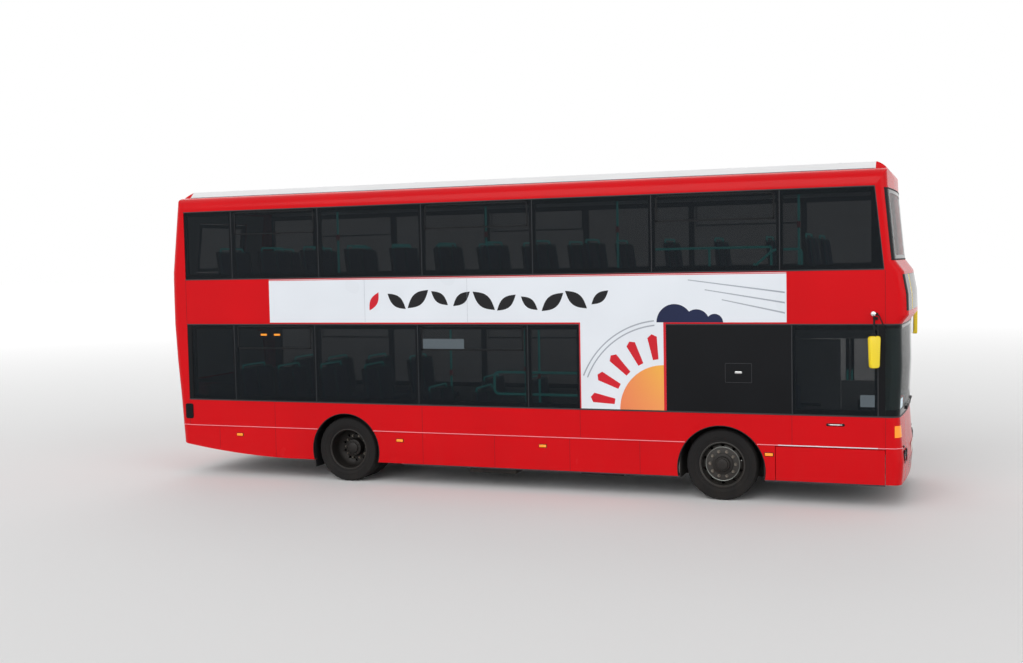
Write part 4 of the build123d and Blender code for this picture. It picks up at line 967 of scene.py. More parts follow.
@dataclass
class SideTrim(Assembly):
    """Seals, mouldings, panel joints, arch lips and small fittings along the sides."""

    seal_proud: float = 0.004
    joint_width: float = 0.004

    def strip(self, side: int, x_low: float, x_high: float, z_low: float, z_high: float, proud: float,
            bevel: float = 0.0015) -> Obj:
        """A straight strip on one side's outer face."""
        y = side * HALF_WIDTH
        return box("strip", (x_low, y - side * 0.002, z_low), (x_high, y + side * proud, z_high), bevel, 2)

    def gaps(self, side: int, z: float) -> list[tuple[float, float]]:
        """The stretches of one side at a height that no doorway interrupts."""
        if side < 0 or z > HEAD_Z - 0.03:
            return [(SIDE_REAR_X, SIDE_FRONT_X)]
        return [(SIDE_REAR_X, DOORWAYS[1][1]), (DOORWAYS[1][2], DOORWAYS[0][1]), (DOORWAYS[0][2], SIDE_FRONT_X)]

    def seals(self) -> None:
        """Dark seals above and below each row of glass, carried round the front, and beside the raked front edge."""
        parts = []
        drop = (FRONT_X - 1.9, FRONT_X - 0.708)
        for z, height, front in ((SILL_Z, 0.018, SIDE_FRONT_X), (HEAD_Z, 0.016, SIDE_FRONT_X),
                (UPPER_SILL_Z, 0.016, RAKE_LOW_X), (UPPER_HEAD_Z, 0.014, RAKE_TOP_X)):
            for side in (-1, 1):
                for x_low, x_high in self.gaps(side, z):
                    x_high = min(x_high, front)
                    split = side < 0 and z == HEAD_Z
                    for low, high in ([(x_low, drop[0]), (drop[1], x_high)] if split else [(x_low, x_high)]):
                        parts.append(self.strip(side, low, high, z - height / 2, z + height / 2, self.seal_proud))
        for side in (-1, 1):
            edge = [(RAKE_LOW_X - 0.005, UPPER_SILL_Z), (RAKE_LOW_X + 0.005, UPPER_SILL_Z),
                (RAKE_TOP_X + 0.005, UPPER_HEAD_Z), (RAKE_TOP_X - 0.005, UPPER_HEAD_Z)]
            parts.append(slab("rake", [(x, side * (HALF_WIDTH - 0.002), z) for x, z in edge], (0, side * 0.004, 0)))
        for z, height in ((SILL_Z, 0.018), (HEAD_Z, 0.016)):
            parts.append(end_band("round", z - height / 2, height, self.seal_proud, -0.002))
        self.put("glass_line_seals", parts, GREY_SEAL)

    def mouldings(self) -> None:
        """The bead along the moulding line, round the front corners to a dark end, pink as a painted highlight."""
        parts, ends = [], []
        for side in (-1, 1):
            for x_low, x_high in ((SIDE_REAR_X, REAR_X - 0.46), (REAR_X + 0.46, FRONT_X - 0.47),
                    (FRONT_X + 0.47, SIDE_FRONT_X)):
                for low, high in self.clipped(side, x_low, x_high):
                    parts.append(rod("bead", (low, side * (HALF_WIDTH + 0.0065), MOULDING_Z + 0.001),
                        (high, side * (HALF_WIDTH + 0.0065), MOULDING_Z + 0.001), 0.0052, 10))
            outer = [p for p in end_path(MOULDING_Z, 0.007) if p[1] * side > 1.06]
            inner = [p for p in end_path(MOULDING_Z, -0.002) if p[1] * side > 1.06]
            parts.append(slab("corner", outer + inner[::-1], (0, 0, 0.008)))
            stop = sorted(end_path(MOULDING_Z - 0.01, 0.009), key=lambda p: abs(abs(p[1]) - 1.04))[:2]
            place = [p for p in stop if p[1] * side > 0] or stop
            x, y, z = place[0]
            ends.append(box("stop", (x - 0.02, y - 0.045, z), (x + 0.001, y + 0.045, z + 0.024), 0.004))
        self.put("moulding_beads", parts, BEAD_PAINTED_HIGHLIGHT)
        # A white strip on the moulding over the skirt flap: a painted highlight of the flap's rolled top edge.
        flap_highlight = rod("flap_edge_painted_highlight", (FRONT_X + 0.735, -HALF_WIDTH - 0.0065, MOULDING_Z + 0.001),
            (SIDE_FRONT_X - 0.09, -HALF_WIDTH - 0.0065, MOULDING_Z + 0.001), 0.0064, 14)
        self.dress(flap_highlight, VINYL_WHITE)
        self.put("moulding_stops", ends, GLOSS_BLACK)

    def clipped(self, side: int, x_low: float, x_high: float) -> list[tuple[float, float]]:
        """A stretch without the doorways on the nearside."""
        stretches = [(x_low, x_high)]
        for _, rear, front in DOORWAYS if side > 0 else ():
            cut = []
            for low, high in stretches:
                if front <= low or rear >= high:
                    cut.append((low, high))
                else:
                    cut += [(a, b) for a, b in ((low, rear), (front, high)) if b - a > 0.02]
            stretches = cut
        return stretches

    def joints(self) -> None:
        """Thin dark joints between panels, and the latches of the skirt doors."""
        half, parts, latches = self.joint_width / 2, [], []
        skirt = {-1: (-4.6, -3.62, -1.2, -0.1, 1.0, 1.98), 1: (-4.6, -3.62, -1.2, -0.1, 3.74)}
        upright = {-1: (SIDE_REAR_X, -3.62, -1.2, 1.155, 3.971, SIDE_FRONT_X),
            1: (SIDE_REAR_X, -3.62, -1.2, SIDE_FRONT_X)}
        for side in (-1, 1):
            for x in skirt[side]:
                low = 0.42 if x < -4 else SKIRT_Z + 0.004
                parts.append(self.strip(side, x - half, x + half, low, MOULDING_Z - 0.01, 0.0008, 0.0))
                for offset in (-0.055, 0.055):
                    for z in (low + 0.06, 0.7):
                        latches.append(rod("latch", (x + offset, side * (HALF_WIDTH - 0.002), z),
                            (x + offset, side * (HALF_WIDTH + 0.003), z), 0.011, 16))
            for x in upright[side]:
                parts.append(self.strip(side, x - half, x + half, MOULDING_Z + 0.012, SILL_Z - 0.012, 0.0008, 0.0))
            for x in (SIDE_REAR_X, SIDE_FRONT_X):
                parts.append(self.strip(side, x - half, x + half, HEAD_Z + 0.012, UPPER_SILL_Z - 0.012, 0.0008, 0.0))
        self.put("panel_joints", parts, SEAM)
        self.put("skirt_latches", latches, RED)

    def arches(self) -> None:
        """Rubber lips round the wheel arches."""
        lips = []
        for axle_x, centre, radius in ((FRONT_X, 0.417, 0.573), (REAR_X, 0.46, 0.542)):
            start = math.degrees(math.asin((SKIRT_Z + 0.004 - centre) / radius))
            for side in (-1, 1):
                y = side * (HALF_WIDTH - 0.055)
                outer = ring_points(axle_x, centre, radius + 0.005, start, 180 - start, 40, y)
                inner = ring_points(axle_x, centre, radius - 0.006, start, 180 - start, 40, y)
                lip = slab("lip", outer + inner[::-1], (0, side * 0.059, 0))
                lips.append(bevel(lip, 0.002, 2))
        self.put("arch_lips", lips, RUBBER)

    def fittings(self) -> None:
        """Step handle, hatch and corner vent on the offside, lamps on both sides, fuel flap on the nearside."""
        y = -HALF_WIDTH
        recess = slab("handle_dish", rounded(FRONT_X + 1.334, FRONT_X + 1.562, 1.027, 1.063, 0.017, y + 0.004),
            (0, -0.006, 0))
        bar = pipe("cab_step_handle", [(FRONT_X + 1.365, y - 0.002, 1.047), (FRONT_X + 1.385, y - 0.012, 1.047),
            (FRONT_X + 1.51, y - 0.012, 1.047), (FRONT_X + 1.53, y - 0.002, 1.047)], 0.005, 0.012)
        self.dress(bevel(recess, 0.0015, 2), GLOSS_BLACK)
        self.dress(bar, CHROME)
        x_low, x_high, z_low, z_high = FRONT_X + 0.066, FRONT_X + 0.41, 1.556, 1.809
        outer = rounded(x_low, x_high, z_low, z_high, 0.012, y + 0.001)
        inner = rounded(x_low + 0.005, x_high - 0.005, z_low + 0.005, z_high - 0.005, 0.008, y + 0.001)
        ring = slab("stair_hatch_edge", outer, (0, -0.0025, 0))
        self.dress(cut(ring, slab("hole", [(px, y + 0.01, pz) for px, _, pz in inner], (0, -0.02, 0))), GREY_SEAL)
        grip = rounded(x_low + 0.125, x_high - 0.125, z_low + 0.118, z_high - 0.105, 0.012, y + 0.001)
        self.dress(bevel(slab("stair_hatch_grip", grip, (0, -0.009, 0)), 0.002, 2), BRIGHT)
        lenses, bases = [], []
        for side in (-1, 1):
            for x in (0.62, -2.447 if side < 0 else -2.74, -4.62, -7.3):
                px, py = FRONT_X + x, side * HALF_WIDTH
                bases.append(box("base", (px - 0.058, py, 0.615), (px + 0.058, py + side * 0.006, 0.665), 0.004))
                lenses.append(box("lens", (px - 0.05, py + side * 0.005, 0.622),
                    (px + 0.05, py + side * 0.016, 0.658), 0.006, 3))
            for x in (-6.828, -6.6):
                px, py = FRONT_X + x, side * HALF_WIDTH
                lenses.append(box("small", (px - 0.052, py, 2.141), (px + 0.052, py + side * 0.012, 2.169), 0.005, 3))
        self.put("marker_bases", bases, RUBBER)
        self.put("marker_lenses", lenses, LENS_AMBER)
        slats = [slab("patch", rounded(-5.203, -5.066, 0.862, 1.092, 0.03, y + 0.001), (0, -0.007, 0))]
        for row in range(6):
            z = 0.888 + row * 0.034
            slats.append(box("slat", (-5.19, y - 0.004, z), (-5.08, y - 0.012, z + 0.012), 0.002))
        self.put("corner_vent", slats, GLOSS_BLACK)
        flap = slab("fuel_flap", rounded(-4.3, -3.98, 0.84, 1.06, 0.03, -y - 0.001), (0, 0.004, 0))
        self.dress(bevel(flap, 0.0015, 2), RED)

    def build(self) -> None:
        """Build the trim of both sides."""
        self.seals()
        self.mouldings()
        self.joints()
        self.arches()
        self.fittings()


@dataclass
class SideWindows(Assembly):
    """Joints between the flush panes, and the frames of the opening hoppers."""

    bar: float = 0.022
    hopper_height: float = 0.345

    def hopper(self, side: int, x_low: float, x_high: float, top: float) -> list[Obj]:
        """The frame of one opening pane along the top of a window."""
        y = side * (HALF_WIDTH - 0.0015)
        low, bar = top - self.hopper_height, self.bar
        parts = []
        for x0, x1, z0, z1 in ((x_low, x_high, low, low + bar), (x_low, x_high, top - bar, top),
                (x_low, x_low + bar, low, top), (x_high - bar, x_high, low, top)):
            parts.append(box("bar", (x0, y, z0), (x1, y + side * 0.006, z1), 0.0015, 1))
        middle = (x_low + x_high) / 2
        parts.append(box("catch", (middle - 0.05, y - side * 0.012, low + 0.002),
            (middle + 0.05, y - side * 0.03, low + 0.02), 0.003))
        return parts

    def build(self) -> None:
        """Build both sides' window fittings."""
        upper = (-7.35, -5.87, -4.21, -2.55, -0.89, 0.77)
        lower = {-1: (-7.35, -5.963, -4.303, -2.643, -1.9, 0.916, 1.961), 1: (-7.35, -5.963, -4.303, -0.27)}
        joints, hoppers = [], []
        for side in (-1, 1):
            y = side * (HALF_WIDTH - 0.004)
            for places, low, high in ((upper, UPPER_SILL_Z + 0.01, UPPER_HEAD_Z - 0.01),
                    (lower[side], SILL_Z + 0.012, HEAD_Z - 0.012)):
                for px in (FRONT_X + x for x in places):
                    joints.append(box("joint", (px - 0.005, y, low), (px + 0.005, y + side * 0.0046, high)))
            for x_low, x_high, top in ((-0.89, 0.77, UPPER_HEAD_Z), (-4.21, -2.55, UPPER_HEAD_Z),
                    (-7.35, -5.87, UPPER_HEAD_Z), (-4.303, -2.643, HEAD_Z), (-7.35, -5.963, HEAD_Z)):
                hoppers += self.hopper(side, FRONT_X + x_low + 0.06, FRONT_X + x_high - 0.06, top - 0.02)
        self.put("pane_joints", joints, GREY_SEAL)
        self.put("hopper_frames", hoppers, FRAME_BLACK)


@dataclass
class Advert(Assembly):
    """A generic advert in vinyl on the offside: a broad band with a drop below it."""

    x_low: float = FRONT_X - 6.717
    x_high: float = FRONT_X + 0.853
    z_low: float = HEAD_Z + 0.016
    z_high: float = 2.955
    drop_low: float = FRONT_X - 1.9
    drop_high: float = FRONT_X - 0.708
    film: float = 0.0007

    def layer(self, level: int) -> tuple[float, float]:
        """The y of a layer's back, and its push outwards."""
        return -HALF_WIDTH - 0.0002 - self.film * level, -self.film * 0.9

    def shape(self, points: Sequence[tuple[float, float]], level: int) -> Obj:
        """A flat piece of vinyl from its outline in x and z."""
        back, push = self.layer(level)
        return slab("vinyl", [(x, back, z) for x, z in points], (0, push, 0))

    def plate(self, x_low: float, x_high: float, z_low: float, z_high: float, level: int) -> Obj:
        """A rectangle of vinyl."""
        return self.shape([(x_low, z_low), (x_high, z_low), (x_high, z_high), (x_low, z_high)], level)

    def arc(self, x: float, z: float, radius: float, start: float, end: float,
            count: int = 24) -> list[tuple[float, float]]:
        """Points of an arc in x and z."""
        return [(px, pz) for px, _, pz in ring_points(x, z, radius, start, end, count, 0)]

    def leaf(self, x: float, z: float, length: float, width: float, tilt: float, level: int) -> Obj:
        """A pointed leaf shape, tilted by degrees."""
        turn = math.radians(tilt)
        there = [(step / 12, 1) for step in range(13)]
        back = [(1 - step / 12, -1) for step in range(1, 12)]
        points = [(length * (t - 0.5), way * width / 2 * math.sin(math.pi * t)) for t, way in there + back]
        moved = [(x + a * math.cos(turn) - b * math.sin(turn), z + a * math.sin(turn) + b * math.cos(turn))
            for a, b in points]
        return self.shape(moved, level)

    def build(self) -> None:
        """Build the ground, the borders and the motifs."""
        x0, x1, z0, z1 = self.x_low, self.x_high, self.z_low, self.z_high
        d0, d1 = self.drop_low, self.drop_high
        ground = [self.plate(x0, x1, z0, z1, 0), self.plate(d0, d1, SILL_Z + 0.012, z0, 0)]
        ground.append(self.plate(x0, x1, z1 + 0.01, z1 + 0.016, 0))
        self.put("advert_ground", ground, VINYL_WHITE)
        red = [self.plate(x0, d0, z0, z0 + 0.012, 1), self.plate(d1, x1, z0, z0 + 0.012, 1),
            self.plate(d0, d0 + 0.016, SILL_Z + 0.012, z0 + 0.012, 1), self.plate(d1 - 0.034, d1, SILL_Z + 0.012,
            z0 + 0.012, 1)]
        grey, ink, navy, warm = [], [], [], []
        middle, foot, corner = (z0 + z1) / 2, SILL_Z + 0.012, d1 - 0.034
        # A run of dark leaves along the band
        for index in range(10):
            size = 0.36 + 0.06 * math.sin(index * 1.9)
            ink.append(self.leaf(x0 + 2.1 + 0.335 * index, middle + 0.04 * math.sin(index * 0.8), size, size * 0.42,
                38 if index % 2 else -38, 1))
        red.append(self.leaf(x0 + 1.74, middle, 0.3, 0.12, 60, 1))
        # A low sun in the drop's corner, with rays and two thin rings
        warm.append(self.shape([(corner, foot)] + self.arc(corner, foot, 0.6, 90, 180), 1))
        for angle in (99, 117, 135, 153, 171):
            ray = [(corner + radius * math.cos(math.radians(angle + turn)),
                foot + radius * math.sin(math.radians(angle + turn))) for radius, turn in ((0.68, -3.2), (0.98, -3.8),
                (1.02, 0), (0.98, 3.8), (0.68, 3.2))]
            red.append(self.shape(ray, 1))
        for radius in (1.14, 1.2):
            rim = self.arc(corner, foot, radius, 96, 158) + self.arc(corner, foot, radius - 0.018, 158, 96)
            grey.append(self.shape(rim, 1))
        # Hills and thin lines over the blank panel
        for offset, radius, level in ((0.02, 0.24, 1), (0.34, 0.17, 2), (0.6, 0.11, 3)):
            navy.append(self.shape(self.arc(d1 + offset + radius * 0.4, z0 + 0.012, radius, 0, 180, 36), level))
        for row in range(3):
            z = z1 - 0.06 - row * 0.13
            grey.append(self.shape([(d1 + 0.3 + row * 0.22, z), (x1 - 0.02, z - 0.17), (x1 - 0.02, z - 0.19),
                (d1 + 0.3 + row * 0.22, z - 0.012)], 1))
        for name, parts, finish in (("advert_red", red, VINYL_RED), ("advert_grey", grey, VINYL_GREY),
                ("advert_ink", ink, VINYL_INK), ("advert_navy", navy, VINYL_NAVY),
                ("advert_warm", warm, SunsetVinyl())):
            self.put(name, parts, finish)
        seams = [self.plate(FRONT_X + x - 0.0015, FRONT_X + x + 0.0015, z0, z1, 3) for x in (-5.128, -3.526)]
        self.put("advert_seams", seams, VINYL_GREY)


@dataclass
class FrontEnd(Assembly):
    """Lamps, plate, displays, wipers and seals of the nose."""

    lamp_ys: tuple[float, float] = (0.86, 1.045)
    lamp_z: float = 0.64
    lamp_radius: float = 0.082

    def lamp(self, y: float, z: float, radius: float) -> tuple[Obj, Obj, Obj]:
        """A round lamp: bowl with bulb, bezel and clear lens."""
        x = face_x(y, z)
        bowl = lathe("bowl", [(-0.002, radius - 0.004), (-0.006, radius - 0.004), (-0.035, radius * 0.62),
            (-0.048, radius * 0.25), (-0.05, 0.0), (-0.054, 0.0), (-0.052, radius * 0.28), (-0.038, radius * 0.68),
            (-0.006, radius)], (x, y, z), (1, 0, 0), 40)
        bulb = knob("bulb", (x - 0.034, y, z), radius * 0.2)
        bezel = lathe("bezel", [(-0.01, radius + 0.002), (0.004, radius + 0.002), (0.007, radius - 0.002),
            (0.004, radius - 0.008), (-0.01, radius - 0.006)], (x, y, z), (1, 0, 0), 40)
        lens = lathe("lens", [(-0.002, radius - 0.006), (0.002, radius - 0.01), (0.007, radius * 0.5), (0.009, 0.0),
            (0.006, 0.0), (0.003, radius * 0.5), (-0.004, radius - 0.008)], (x, y, z), (1, 0, 0), 40)
        return join("bowl", [bowl, bulb]), bezel, lens

    def lamps(self) -> None:
        """Two headlamps each side."""
        made = [self.lamp(side * y, self.lamp_z, self.lamp_radius) for side in (-1, 1) for y in self.lamp_ys]
        bowls, bezels, lenses = zip(*made)
        self.put("headlamp_bowls", bowls, REFLECTOR, ("headlamps",))
        self.put("headlamp_bezels", bezels, GLOSS_BLACK)
        self.put("headlamp_lenses", lenses, LENS_CLEAR)

    def plate_and_grille(self) -> None:
        """Blank number plate, a slot grille and the bumper's joint."""
        slots = [end_band("slot", 0.42 + row * 0.028, 0.012, 0.002, -0.004, half=0.52) for row in range(4)]
        self.put("bumper_slots", slots, GLOSS_BLACK)
        self.dress(end_band("bumper_joint", 0.545, 0.004, 0.0008, -0.003, half=1.1), SEAM)
        x = face_x(0.0, 0.64)
        plate = box("front_blank_plate", (x - 0.004, -0.26, 0.585), (x + 0.006, 0.26, 0.695), 0.004, 2)
        self.dress(plate, PLATE)

    def displays(self) -> None:
        """The blank front display's glass, and the yellow and pale strips at its ends."""
        heights = (2.479, 2.56, 2.68, 2.8, 2.921)
        glass = sheet("display_glass", [end_path(z, 0.0015, half=1.221) for z in heights], (-0.004, 0, 0))
        self.dress(glass, GLOSS_BLACK)
        for name, finish, y_low, y_high in (("display_yellow_edges", DISPLAY_YELLOW, 0.8, 0.85),
                ("display_pale_edges", VINYL_WHITE, 0.885, 0.925)):
            parts = []
            for side in (-1, 1):
                rows = [[(face_x(y, z) + 0.003, side * y, z) for y in (y_low, (y_low + y_high) / 2, y_high)]
                    for z in heights]
                parts.append(sheet("edge", rows, (-0.002, 0, 0)))
            self.put(name, parts, finish)

    def screen_trim(self) -> None:
        """The seal round the upper screen, and the windscreen's black border."""
        parts, half = [], 1.235
        for z in (3.108, 3.985):
            parts.append(sheet("seal", [end_path(z + dz, 0.004, half=half + 0.006) for dz in (-0.009, 0.009)],
                (-0.008, 0, 0)))
        for side in (-1, 1):
            rows = [[(face_x(y, z) + 0.004, side * y, z) for y in (half - 0.008, half, half + 0.008)]
                for z in (3.1, 3.4, 3.7, 3.993)]
            parts.append(sheet("post", rows, (-0.008, 0, 0)))
        self.put("upper_screen_seal", parts, RUBBER)
        border = []
        for z, height in ((1.17, 0.075), (2.262, 0.036)):
            lean = end_x(z + height, True) - end_x(z, True)
            border.append(end_band("border", z, height, 0.0016, -0.001, lean=lean))
        for side in (-1, 1):
            rows = [[(face_x(y, z) + 0.0012, side * y, z) for y in (1.078, 1.14, 1.19, 1.21, 1.228)]
                for z in (3.112, 3.4, 3.7, 3.981)]
            border.append(sheet("upper_post", rows, (-0.0008, 0, 0)))
        for low, high in ((3.112, 3.162), (3.931, 3.981)):
            border.append(sheet("upper_band", [end_path(z, 0.0012, half=1.076) for z in (low, high)],
                (-0.0008, 0, 0)))
        self.put("screen_border", border, GLOSS_BLACK)

    def on_screen(self, y: float, z: float, out: float) -> Point:
        """A point standing off the windscreen."""
        return (face_x(y, z) + out, y, z)

    def wipers(self) -> None:
        """Two wipers: arms from their pivots, and blades along the foot of the screen."""
        arms, blades = [], []
        for side in (-1, 1):
            foot = side * 0.6
            arms.append(lathe("pivot", [(-0.01, 0.0), (-0.01, 0.022), (0.018, 0.022), (0.024, 0.016), (0.024, 0.0)],
                self.on_screen(foot, 1.205, 0.0), (1, 0, 0), 20))
            arms.append(pipe("arm", [self.on_screen(foot, 1.205, 0.018), self.on_screen(side * 0.45, 1.24, 0.026),
                self.on_screen(side * 0.3, 1.222, 0.018)], 0.006, 0.05))
            blades.append(pipe("blade", [self.on_screen(side * 0.58, 1.212, 0.012),
                self.on_screen(side * 0.3, 1.208, 0.012), self.on_screen(side * 0.02, 1.196, 0.012)], 0.007, 0.1))
        self.put("wiper_arms", arms, FRAME_BLACK, ("wipers",))
        self.put("wiper_blades", blades, RUBBER)

    def build(self) -> None:
        """Build the nose's pieces."""
        self.lamps()
        self.plate_and_grille()
        self.displays()
        self.screen_trim()
        self.wipers()


@dataclass
class Mirrors(Assembly):
    """Yellow-backed mirrors on hooped arms, with a small close-view ball above the offside one.

    Attributes:
        heads: Columns: side, x, y, low z, high z, turn about the upright in degrees.
    """

    heads: tuple[tuple[float, ...], ...] = ((-1, FRONT_X + 1.925, 1.395, 1.777, 2.173, 45),
        (1, FRONT_X + 2.29, 1.387, 2.03, 2.385, 14))
    half_width: float = 0.0825

    def side_y(self, x: float, z: float) -> float:
        """How far the body's side stands out at an x and a height, round the front corner too."""
        middle = end_x(z, True) - FRONT_BOW - FRONT_CORNER
        if x <= middle:
            return HALF_WIDTH
        return HALF_WIDTH - FRONT_CORNER + math.sqrt(FRONT_CORNER ** 2 - (x - middle) ** 2)

    def build(self) -> None:
        """Build both mirrors."""
        shells, glasses, arms = [], [], []
        for side, x, y, low, high, turn in self.heads:
            middle, half = (low + high) / 2, self.half_width
            outline = [(px * (1 - 0.22 * max(0.0, (middle - pz) / (high - low) * 2)), py, pz)
                for px, py, pz in rounded(-half, half, low, high, 0.035, -0.03, 5)]
            shell = bevel(slab("shell", outline, (0, 0.06, 0)), 0.014, 3)
            glass = slab("glass", [(px * 0.86, -0.0305, middle + (pz - middle) * 0.93) for px, _, pz in outline],
                (0, -0.003, 0))
            place = Matrix.Translation((x, side * y, 0)) @ Matrix.Rotation(math.radians(side * turn - 90), 4, "Z")
            for piece, kept in ((shell, shells), (glass, glasses)):
                piece.data.transform(place)
                kept.append(piece)
            top, root = high + 0.21, side * (self.side_y(x - 0.005, high + 0.21) - 0.006)
            arms.append(pipe("arm", [(x, side * y, high - 0.01), (x, side * y, top), (x - 0.005, root, top)], 0.012,
                0.07))
            arms.append(box("clamp", (x - 0.022, side * y - 0.022, high - 0.012),
                (x + 0.022, side * y + 0.022, high + 0.03), 0.006))
        x, y = FRONT_X, -HALF_WIDTH
        arms.append(pipe("hoop", [(x + 1.94, y + 0.004, 2.436), (x + 1.975, y - 0.07, 2.43),
            (x + 2.01, y - 0.08, 2.35), (x + 2.045, y - 0.06, 2.27), (x + 2.045, y + 0.004, 2.264)], 0.008, 0.04))
        for z in (2.264, 2.383, 2.436):
            arms.append(box("foot", (x + 1.905, y + 0.002, z - 0.018), (x + 1.965, y - 0.01, z + 0.018), 0.004))
        ball = knob("mirror_ball", (x + 1.91, y - 0.04, 2.443), 0.036, (1, 0.8, 1))
        self.put("mirror_shells", shells, MIRROR_SHELL, ("mirrors",))
        self.put("mirror_glasses", glasses, MIRROR_GLASS)
        self.put("mirror_arms", arms, RUBBER)
        self.dress(ball, CHROME)


@dataclass
class RearEnd(Assembly):
    """Lamps, blank plate, seals, handles and louvre mesh of the tail.

    Attributes:
        lamps: Columns: height, radius, finish of the lens.
    """

    lamps: tuple[tuple[float, float, Finish], ...] = ((0.96, 0.06, LENS_RED), (1.11, 0.06, LENS_AMBER),
        (1.26, 0.06, LENS_CLEAR), (2.12, 0.05, LENS_RED))
    lamp_y: float = 1.04

    def lights(self) -> None:
        """Bezels and domed lenses of the round lamps."""
        rims, lenses = [], {}
        for z, radius, finish in self.lamps:
            for side in (-1, 1):
                place = (face_x(self.lamp_y, z, False), side * self.lamp_y, z)
                rims.append(lathe("rim", [(-0.008, radius), (0.006, radius), (0.008, radius + 0.004),
                    (0.006, radius + 0.01), (-0.008, radius + 0.01)], place, (-1, 0, 0), 32))
                lens = lathe("lens", [(-0.004, radius), (0.003, radius), (0.011, radius * 0.6), (0.013, 0.0),
                    (-0.004, 0.0)], place, (-1, 0, 0), 32)
                lenses.setdefault(finish.name, (finish, []))[1].append(lens)
        self.put("tail_lamp_bezels", rims, RUBBER)
        for name, (finish, parts) in lenses.items():
            self.put(f"tail_{name}", parts, finish)

    def frame(self, half: float, low: float, high: float, width: float) -> list[Obj]:
        """A seal round a rectangle in the tail."""
        parts = [sheet("seal", [end_path(z + dz, 0.004, False, half + width) for dz in (-width, width)],
            (0.007, 0, 0)) for z in (low, high)]
        for side in (-1, 1):
            rows = [[(face_x(half + dy, z, False) - 0.004, side * (half + dy), z) for dy in (-width, 0, width)]
                for z in (low, (low + high) / 2, high)]
            parts.append(sheet("seal", rows, (0.007, 0, 0)))
        return parts

    def build(self) -> None:
        """Build the tail's pieces."""
        self.lights()
        beads = []
        for side in (-1, 1):
            edges = []
            for out in (0.007, -0.002):
                line = [p for p in end_path(MOULDING_Z, out, False) if p[1] * side > 0.87]
                start = (face_x(0.866, MOULDING_Z, False) - out, side * 0.866, MOULDING_Z)
                edges.append([start, *line] if side > 0 else [*line, start])
            beads.append(slab("bead", edges[0] + edges[1][::-1], (0, 0, 0.008)))
        # The pink of the rear bead is a painted highlight.
        self.put("rear_bead", beads, BEAD_PAINTED_HIGHLIGHT)
        joints = [end_band("joint", z, 0.004, 0.0008, -0.002, False, 1.14) for z in (HEAD_Z, 2.96, 1.42)]
        self.put("rear_joints", joints, SEAM)
        self.put("exit_surround", self.frame(0.656, 3.088, 3.873, 0.008), RUBBER)
        self.put("rear_display_surround", self.frame(0.33, 2.56, 2.88, 0.01), RUBBER)
        x = face_x(0.0, 1.5, False)
        self.dress(box("rear_blank_plate", (x + 0.004, -0.26, 1.445), (x - 0.007, 0.26, 1.555), 0.004), PLATE)
        self.dress(box("plate_lamp", (x + 0.004, -0.09, 1.575), (x - 0.03, 0.09, 1.6), 0.006), FRAME_BLACK)
        x = face_x(0.0, 3.2, False)
        handle = pipe("exit_handle", [(x + 0.002, -0.1, 3.17), (x - 0.035, -0.09, 3.17), (x - 0.035, 0.09, 3.17),
            (x + 0.002, 0.1, 3.17)], 0.008, 0.02)
        self.dress(handle, LENS_RED, (), "emergency_exit")
        mesh = [box("mesh", (end_x(0.9, False) + 0.058, side * 0.1, 0.67),
            (end_x(0.9, False) + 0.062, side * 0.73, 1.13)) for side in (-1, 1)]
        self.put("louvre_mesh", mesh, MESH, (), "engine_lid")
        latches = []
        for side in (-1, 1):
            for y in (0.3, 0.78):
                x = face_x(y, 0.61, False)
                latches.append(box("latch", (x + 0.003, side * y - 0.03, 0.598), (x - 0.006, side * y + 0.03, 0.634),
                    0.005))
        self.put("engine_latches", latches, BRIGHT, (), "engine_lid")


@dataclass
class Roof(Assembly):
    """Joint strips, side beads and two low hatches on the white roof."""

    strips: tuple[float, ...] = (-4.35, -2.85, -1.35, 0.15, 1.65, 3.15, 4.55)

    def crown(self, x: float, y: float, out: float) -> Point:
        """A point standing off the roof."""
        y_edge, z_edge = 0.985, 4.33
        if abs(y) <= y_edge:
            z = 4.35 - 0.02 * (y / y_edge) ** 2
        else:
            z = z_edge - (abs(y) - y_edge) / (COVE_Y - y_edge) * (z_edge - COVE_Z - COVE_RADIUS)
        return (x, y, z + out)

    def build(self) -> None:
        """Build the roof's pieces."""
        steps = [-COVE_Y, -0.985] + [-0.985 + 0.197 * i for i in range(1, 10)] + [0.985, COVE_Y]
        ribs = [sheet("rib", [[self.crown(x + dx, y, 0.003) for y in steps] for dx in (-0.022, 0.022)],
            (0, 0, -0.005)) for x in self.strips]
        self.put("roof_joint_strips", ribs, WHITE_ROOF)
        beads = [rod("bead", (SIDE_REAR_X + 0.01, side * COVE_Y, 4.24), (RAKE_TOP_X - 0.01, side * COVE_Y, 4.24),
            0.006, 8) for side in (-1, 1)]
        self.put("roof_gutters", beads, GREY_SEAL)
        hatches = []
        for x in (1.0, -3.6):
            lid = box("hatch", (x - 0.32, -0.3, 4.338), (x + 0.32, 0.3, 4.362), 0.012, 3)
            rim = box("rim", (x - 0.35, -0.33, 4.336), (x + 0.35, 0.33, 4.351), 0.004)
            hatches += [lid, rim]
        self.put("roof_hatches", hatches, WHITE_ROOF)


class Leaf(Enum):
    """Which leaf of a doorway."""

    FRONT = "front"
    REAR = "rear"


